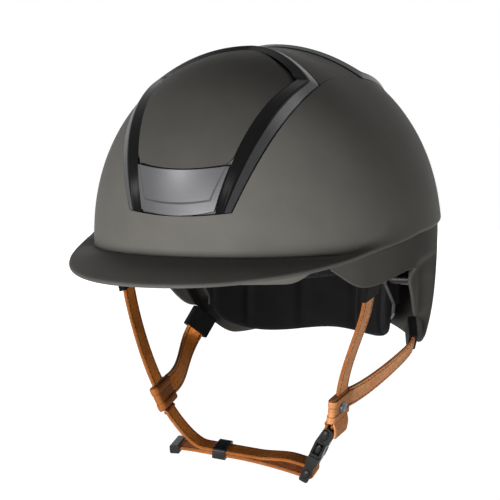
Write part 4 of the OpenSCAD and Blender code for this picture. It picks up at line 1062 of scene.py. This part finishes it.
# Short strap from the foot of the left divider round the socket's bar and back
BAR_X, BAR_Y = 2, SOCKET_FOOT + SOCKET_LEN - 4
FOOT = A(116.5, -1.2)
socket_uv = np.vstack([
    bezier([FOOT + A(1.5, -1.6), FOOT + A(-3, -8), in_buckle(BAR_X + LOOP_R, BAR_Y + 8),
            in_buckle(BAR_X + LOOP_R, BAR_Y)], span(14)),
    loop_path((BAR_X, BAR_Y), 0, -180, 25)[1:],
    bezier([in_buckle(BAR_X - LOOP_R, BAR_Y), in_buckle(BAR_X - LOOP_R, BAR_Y + 6), FOOT + A(-7, -3.5),
            FOOT + A(-1.5, 1.4)], span(14)[1:])])
sock_shift = 4 * np.abs(2 * span(len(socket_uv) - 1) - 1) ** 6
settle(strap_object("strap_socket", *plane_frames(socket_uv), sock_shift, outer_side=-1),
       "strap_leather", "socket_strap")

# ---- dividers and buckle details


# Folded leather: a full round front edge, and both faces running back to a thin rear edge
def fold_section(reach, half_t, front_r, n=10):
    turn = np.linspace(0, math.pi, n)
    front = [(-reach + front_r - front_r * math.sin(t), half_t * math.cos(t)) for t in turn]
    rear = [(reach, half_t - 0.5), (reach - 0.5, half_t)]
    return rear + front + [(y, -x) for y, x in rear[::-1]]


def build_divider(side, at, lean, label, hide, foot, reach=11.4, half_t=2.65, front_r=3.2):
    ax = divider_axes(lean)

    def section(z, half_reach, thick, r):
        return [at + ax[1] * y + ax[0] * x + ax[2] * z for y, x in fold_section(half_reach, thick, r)]
    body = [section(z, reach + grow, half_t + grow, front_r) for z, grow in (
        (foot, -0.7), (foot + 0.3, -0.25), (foot + 0.9, 0), (-2.6, 0), (0, 0.06), (2.6, 0), (7.6, 0),
        (8.2, -0.25), (8.5, -0.7))]
    settle(loft("divider_fold_" + label, body, [hide], sharp=50), "strap_leather", "divider_" + label)
    for k, mid in enumerate((-6.0, 5.6)):
        band = [section(mid + z, reach + grow * 0.4, half_t + grow, front_r + grow) for z, grow in (
            (-2.8, -0.1), (-2.2, 0.3), (-1.9, 0.62), (1.9, 0.62), (2.2, 0.3), (2.8, -0.1))]
        wrap = loft("divider_wrap_%s_%d" % (label, k), band, [hide, tan_groove], sharp=50)
        for face in wrap.data.polygons:
            rows = {v // len(band[0]) for v in face.vertices}
            face.material_index = 1 if rows <= {0, 1} or rows <= {4, 5} else 0
        settle(wrap, "strap_leather")
        run = at + np.outer(np.linspace(-7.4, 10.6, 24), ax[1]) + ax[0] * (side * 3.27) + ax[2] * mid
        stitches("divider_sewing_%s_%d" % (label, k), run, ax[2], ax[0] * side, (-1.4, 1.4), (0,), 2.4, 1.6,
                 0.2, (0.6, 0.6))


# One leather for both dividers: the near one lighter as painted light, the far one in the darker edge leather
# as painted shade
build_divider(*SIDES[0], near_lit_leather, -9.2)
build_divider(*SIDES[1], edge_and_shade_leather, -8.6)


# Leather tab that comes down from under the near divider's lower band, over the loop's outer strand
def build_tab(side, at, lean, label, thick=1.3):
    ax = divider_axes(lean)
    rows = np.array([(-8.4, 1.9), (-9.6, 2.3), (-11, 3), (-12.5, 3.5), (-14, 3.75), (-17, 3.8), (-18.6, 3.8),
                     (-19.3, 3.8)])
    sections = []
    for z, x in rows:
        nip = 0.5 if z < -19 else 0.0
        back = 9.6 + 0.26 * (z + 8.4) - 3 * nip
        sections.append([at + ax[1] * y + ax[0] * (x + h) + ax[2] * z
                         for y, h in ((-10 + nip, 0), (-10 + nip, thick), (back, thick), (back, 0))])
    settle(loft("divider_tab", sections, [near_lit_leather], bevel=0.4), "strap_leather")
    run = at + ax[0] * (rows[1:, 1:] + thick) + ax[2] * rows[1:, :1]
    stitches("divider_tab_sewing", run, ax[1], ax[0], (-8.6,), (0.0,), 2.2, 1.5, 0.2, (0.2, 0.8))


build_tab(*SIDES[0])

WINDOW_Y, NOSE_Y, PLUG_FOOT_Y = 13.7, 24.6, -7.6
BUTTON_ROWS = ((0.0, 1.0), (0.45, 0.98), (0.7, 0.88), (0.84, 0.66), (0.9, 0.36))
BOSS_ROWS = ((-0.3, 1.0), (0.35, 0.97), (0.8, 0.86), (1.1, 0.66), (1.25, 0.38))


# Oval cap on a side of the buckle, through rings of (height, share of its size)
def oval_cap(name, body, side, along, half_wide, half_long, base, rows, ring):
    points = [buckle_point(half_wide * r * c, along + half_long * r * s, side * (base + h))
              for h, r in rows for c, s in circle(ring)]
    last = (len(rows) - 1) * ring
    faces = [(i + j, i + (j + 1) % ring, i + ring + (j + 1) % ring, i + ring + j)
             for i in range(0, last, ring) for j in range(ring)]
    faces += [tuple(range(ring)), tuple(range(last, last + ring))[::-1]]
    cap = new_object(name, points, outward(points, faces), [buckle_m], sharp=50)
    settle(cap, "buckle_plastic", body=body)


# Raised rim round the side window of the socket
def window_rim(label, side, half_wide=3.3, half_long=5.4, size=0.45, count=40):
    loop = []
    for c, s in circle(count):
        x = half_wide * math.copysign(abs(c) ** 0.5, c)
        y = WINDOW_Y + half_long * math.copysign(abs(s) ** 0.5, s)
        loop.append([buckle_point(x + c * size * a, y + s * size * a, side * (12.2 + size * b))
                     for a, b in ((-1, -0.6), (-1, 0.4), (-0.4, 1), (0.4, 1), (1, 0.4), (1, -0.6))])
    settle(loft("socket_rim_" + label, loop, [buckle_m], closed=True, sharp=60), "buckle_plastic")


for label, side in (("front", 1), ("rear", -1)):
    oval_cap("socket_boss_" + label, "helmet", side, NOSE_Y, 2.9, 4.9, 12.1, BOSS_ROWS, 28)
    oval_cap("plug_boss_" + label, "chin", side, PLUG_FOOT_Y, 2.9, 4.3, 12.1, BOSS_ROWS, 28)
    window_rim(label, side)
    # Push button on the shoulder of a prong, standing in the side window of the socket
    oval_cap("button_" + label, "prong_" + label, side, WINDOW_Y, 1.85, 3.6, 11.7, BUTTON_ROWS, 24)

# ---- small hard pieces

# Nodes, their body (None: the body of the node's own name), slot, material and bevel
for nodes, body, slot, mat, bevel in (
        (("nape_cradle",), "cradle", "cradle_plastic", cradle_m, 0.6),
        (("front_sleeve_left", "front_sleeve_right"), "helmet", "harness_rubber", rubber, 0.8),
        (("rear_guide_left", "rear_guide_right"), "helmet", "harness_rubber", rubber, 0.7),
        (("keeper",), None, "harness_rubber", gloss_loop, 0.45),
        (("end_clip",), "chin", "harness_rubber", gloss_loop, 0.45),
        (("buckle_socket",), "helmet", "buckle_plastic", buckle_m, 0.8),
        (("buckle_plug",), "chin", "buckle_plastic", buckle_m, 0.65),
        (("prong_front", "prong_rear"), None, "buckle_plastic", buckle_m, 0.3),
        (("pivot_pin_left", "pivot_pin_right"), "helmet", "pin_steel", pin_m, 0.3),
        (("stud_left", "stud_right"), "helmet", "stud_metal", stud_m, 0.5)):
    for node in nodes:
        settle(rounded_node(node, mat, bevel), slot, node, body=body or node)
for grille_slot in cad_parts["rear_grille"].material_slots:
    grille_slot.material = grille_m

# ---- camera, light, floor and world

# The photograph's view, and its framing by a small shift
camera = bpy.data.cameras.new("camera")
camera.sensor_width, camera.lens, camera.shift_x, camera.shift_y = 36, 182.2, -0.0382, -0.1572
scene.camera = aimed("camera", camera, 26.1, 2.87, 1.721, (0, 0, 0.040))

WHITE = (1, 1, 1, 1)


# Shader that differs for the rays that see it: from the camera, reflected and refracted ones
def by_ray(tree, lit, seen):
    path = add_node(tree, "LightPath", {}).node.outputs
    rays = add_node(tree, "Math", {0: path["Is Camera Ray"], 1: path["Is Glossy Ray"]}, operation="MAXIMUM")
    rays = add_node(tree, "Math", {0: rays, 1: path["Is Transmission Ray"]}, operation="MAXIMUM")
    return add_node(tree, "MixShader", {0: rays, 1: lit, 2: seen})


def area(name, az, el, wide, high, watts, aim=(0, 0, -0.01), dist=2.2):
    data = bpy.data.lights.new(name, "AREA")
    data.shape = "RECTANGLE"
    data.size, data.size_y, data.energy = wide, high, watts
    return aimed(name, data, az, el, dist, aim)


scene.world = bpy.data.worlds.new("world")
tree = cleared(scene.world)
lit = add_node(tree, "Background", {"Color": WHITE, "Strength": 0.06})
seen = add_node(tree, "Background", {"Color": WHITE, "Strength": 1.0})
add_node(tree, "OutputWorld", {"Surface": by_ray(tree, lit, seen)})

area("key", 0, -15, 1.0, 0.5, 65)
area("left", -80, 4, 0.8, 0.6, 1)
area("low_right", 58, -30, 0.8, 0.5, 8, (0, 0, -0.08))
# Lamps from behind: they light the shell there, and leave no bright rim on its outline
for lamp in (area("right", 124, 4, 0.8, 0.6, 6), area("back", 205, 10, 1.0, 0.6, 22)):
    lamp.visible_glossy = False
# Soft cards that only show as reflections in gloss and metal
cards = area("plate_card", -26, 24, 0.4, 0.3, 9, dist=2), area("bevel_card", 106, 42, 1.1, 0.6, 11, dist=2)
for card in cards:
    card.visible_diffuse = False

bm = bmesh.new()
bmesh.ops.create_grid(bm, x_segments=2, y_segments=2, size=6)
floor_mesh = bpy.data.meshes.new("floor")
bm.to_mesh(floor_mesh)
bm.free()
floor = linked("floor", floor_mesh)
floor.location = (0, 0, cad_box[0][2] - 0.001)
floor.visible_shadow = False
paint = bpy.data.materials.new("floor")
tree = cleared(paint)
# White where it is seen, less the object's shadow; plain grey for the light that it passes on
seen = add_node(tree, "AddShader", {0: add_node(tree, "BsdfDiffuse", {"Color": (0.3, 0.3, 0.3, 1)}),
                                    1: add_node(tree, "Emission", {"Strength": 0.98})})
lit = add_node(tree, "BsdfDiffuse", {"Color": (0.6, 0.6, 0.6, 1)})
add_node(tree, "OutputMaterial", {"Surface": by_ray(tree, lit, seen)})
floor_mesh.materials.append(paint)

scene.view_settings.view_transform = "Standard"
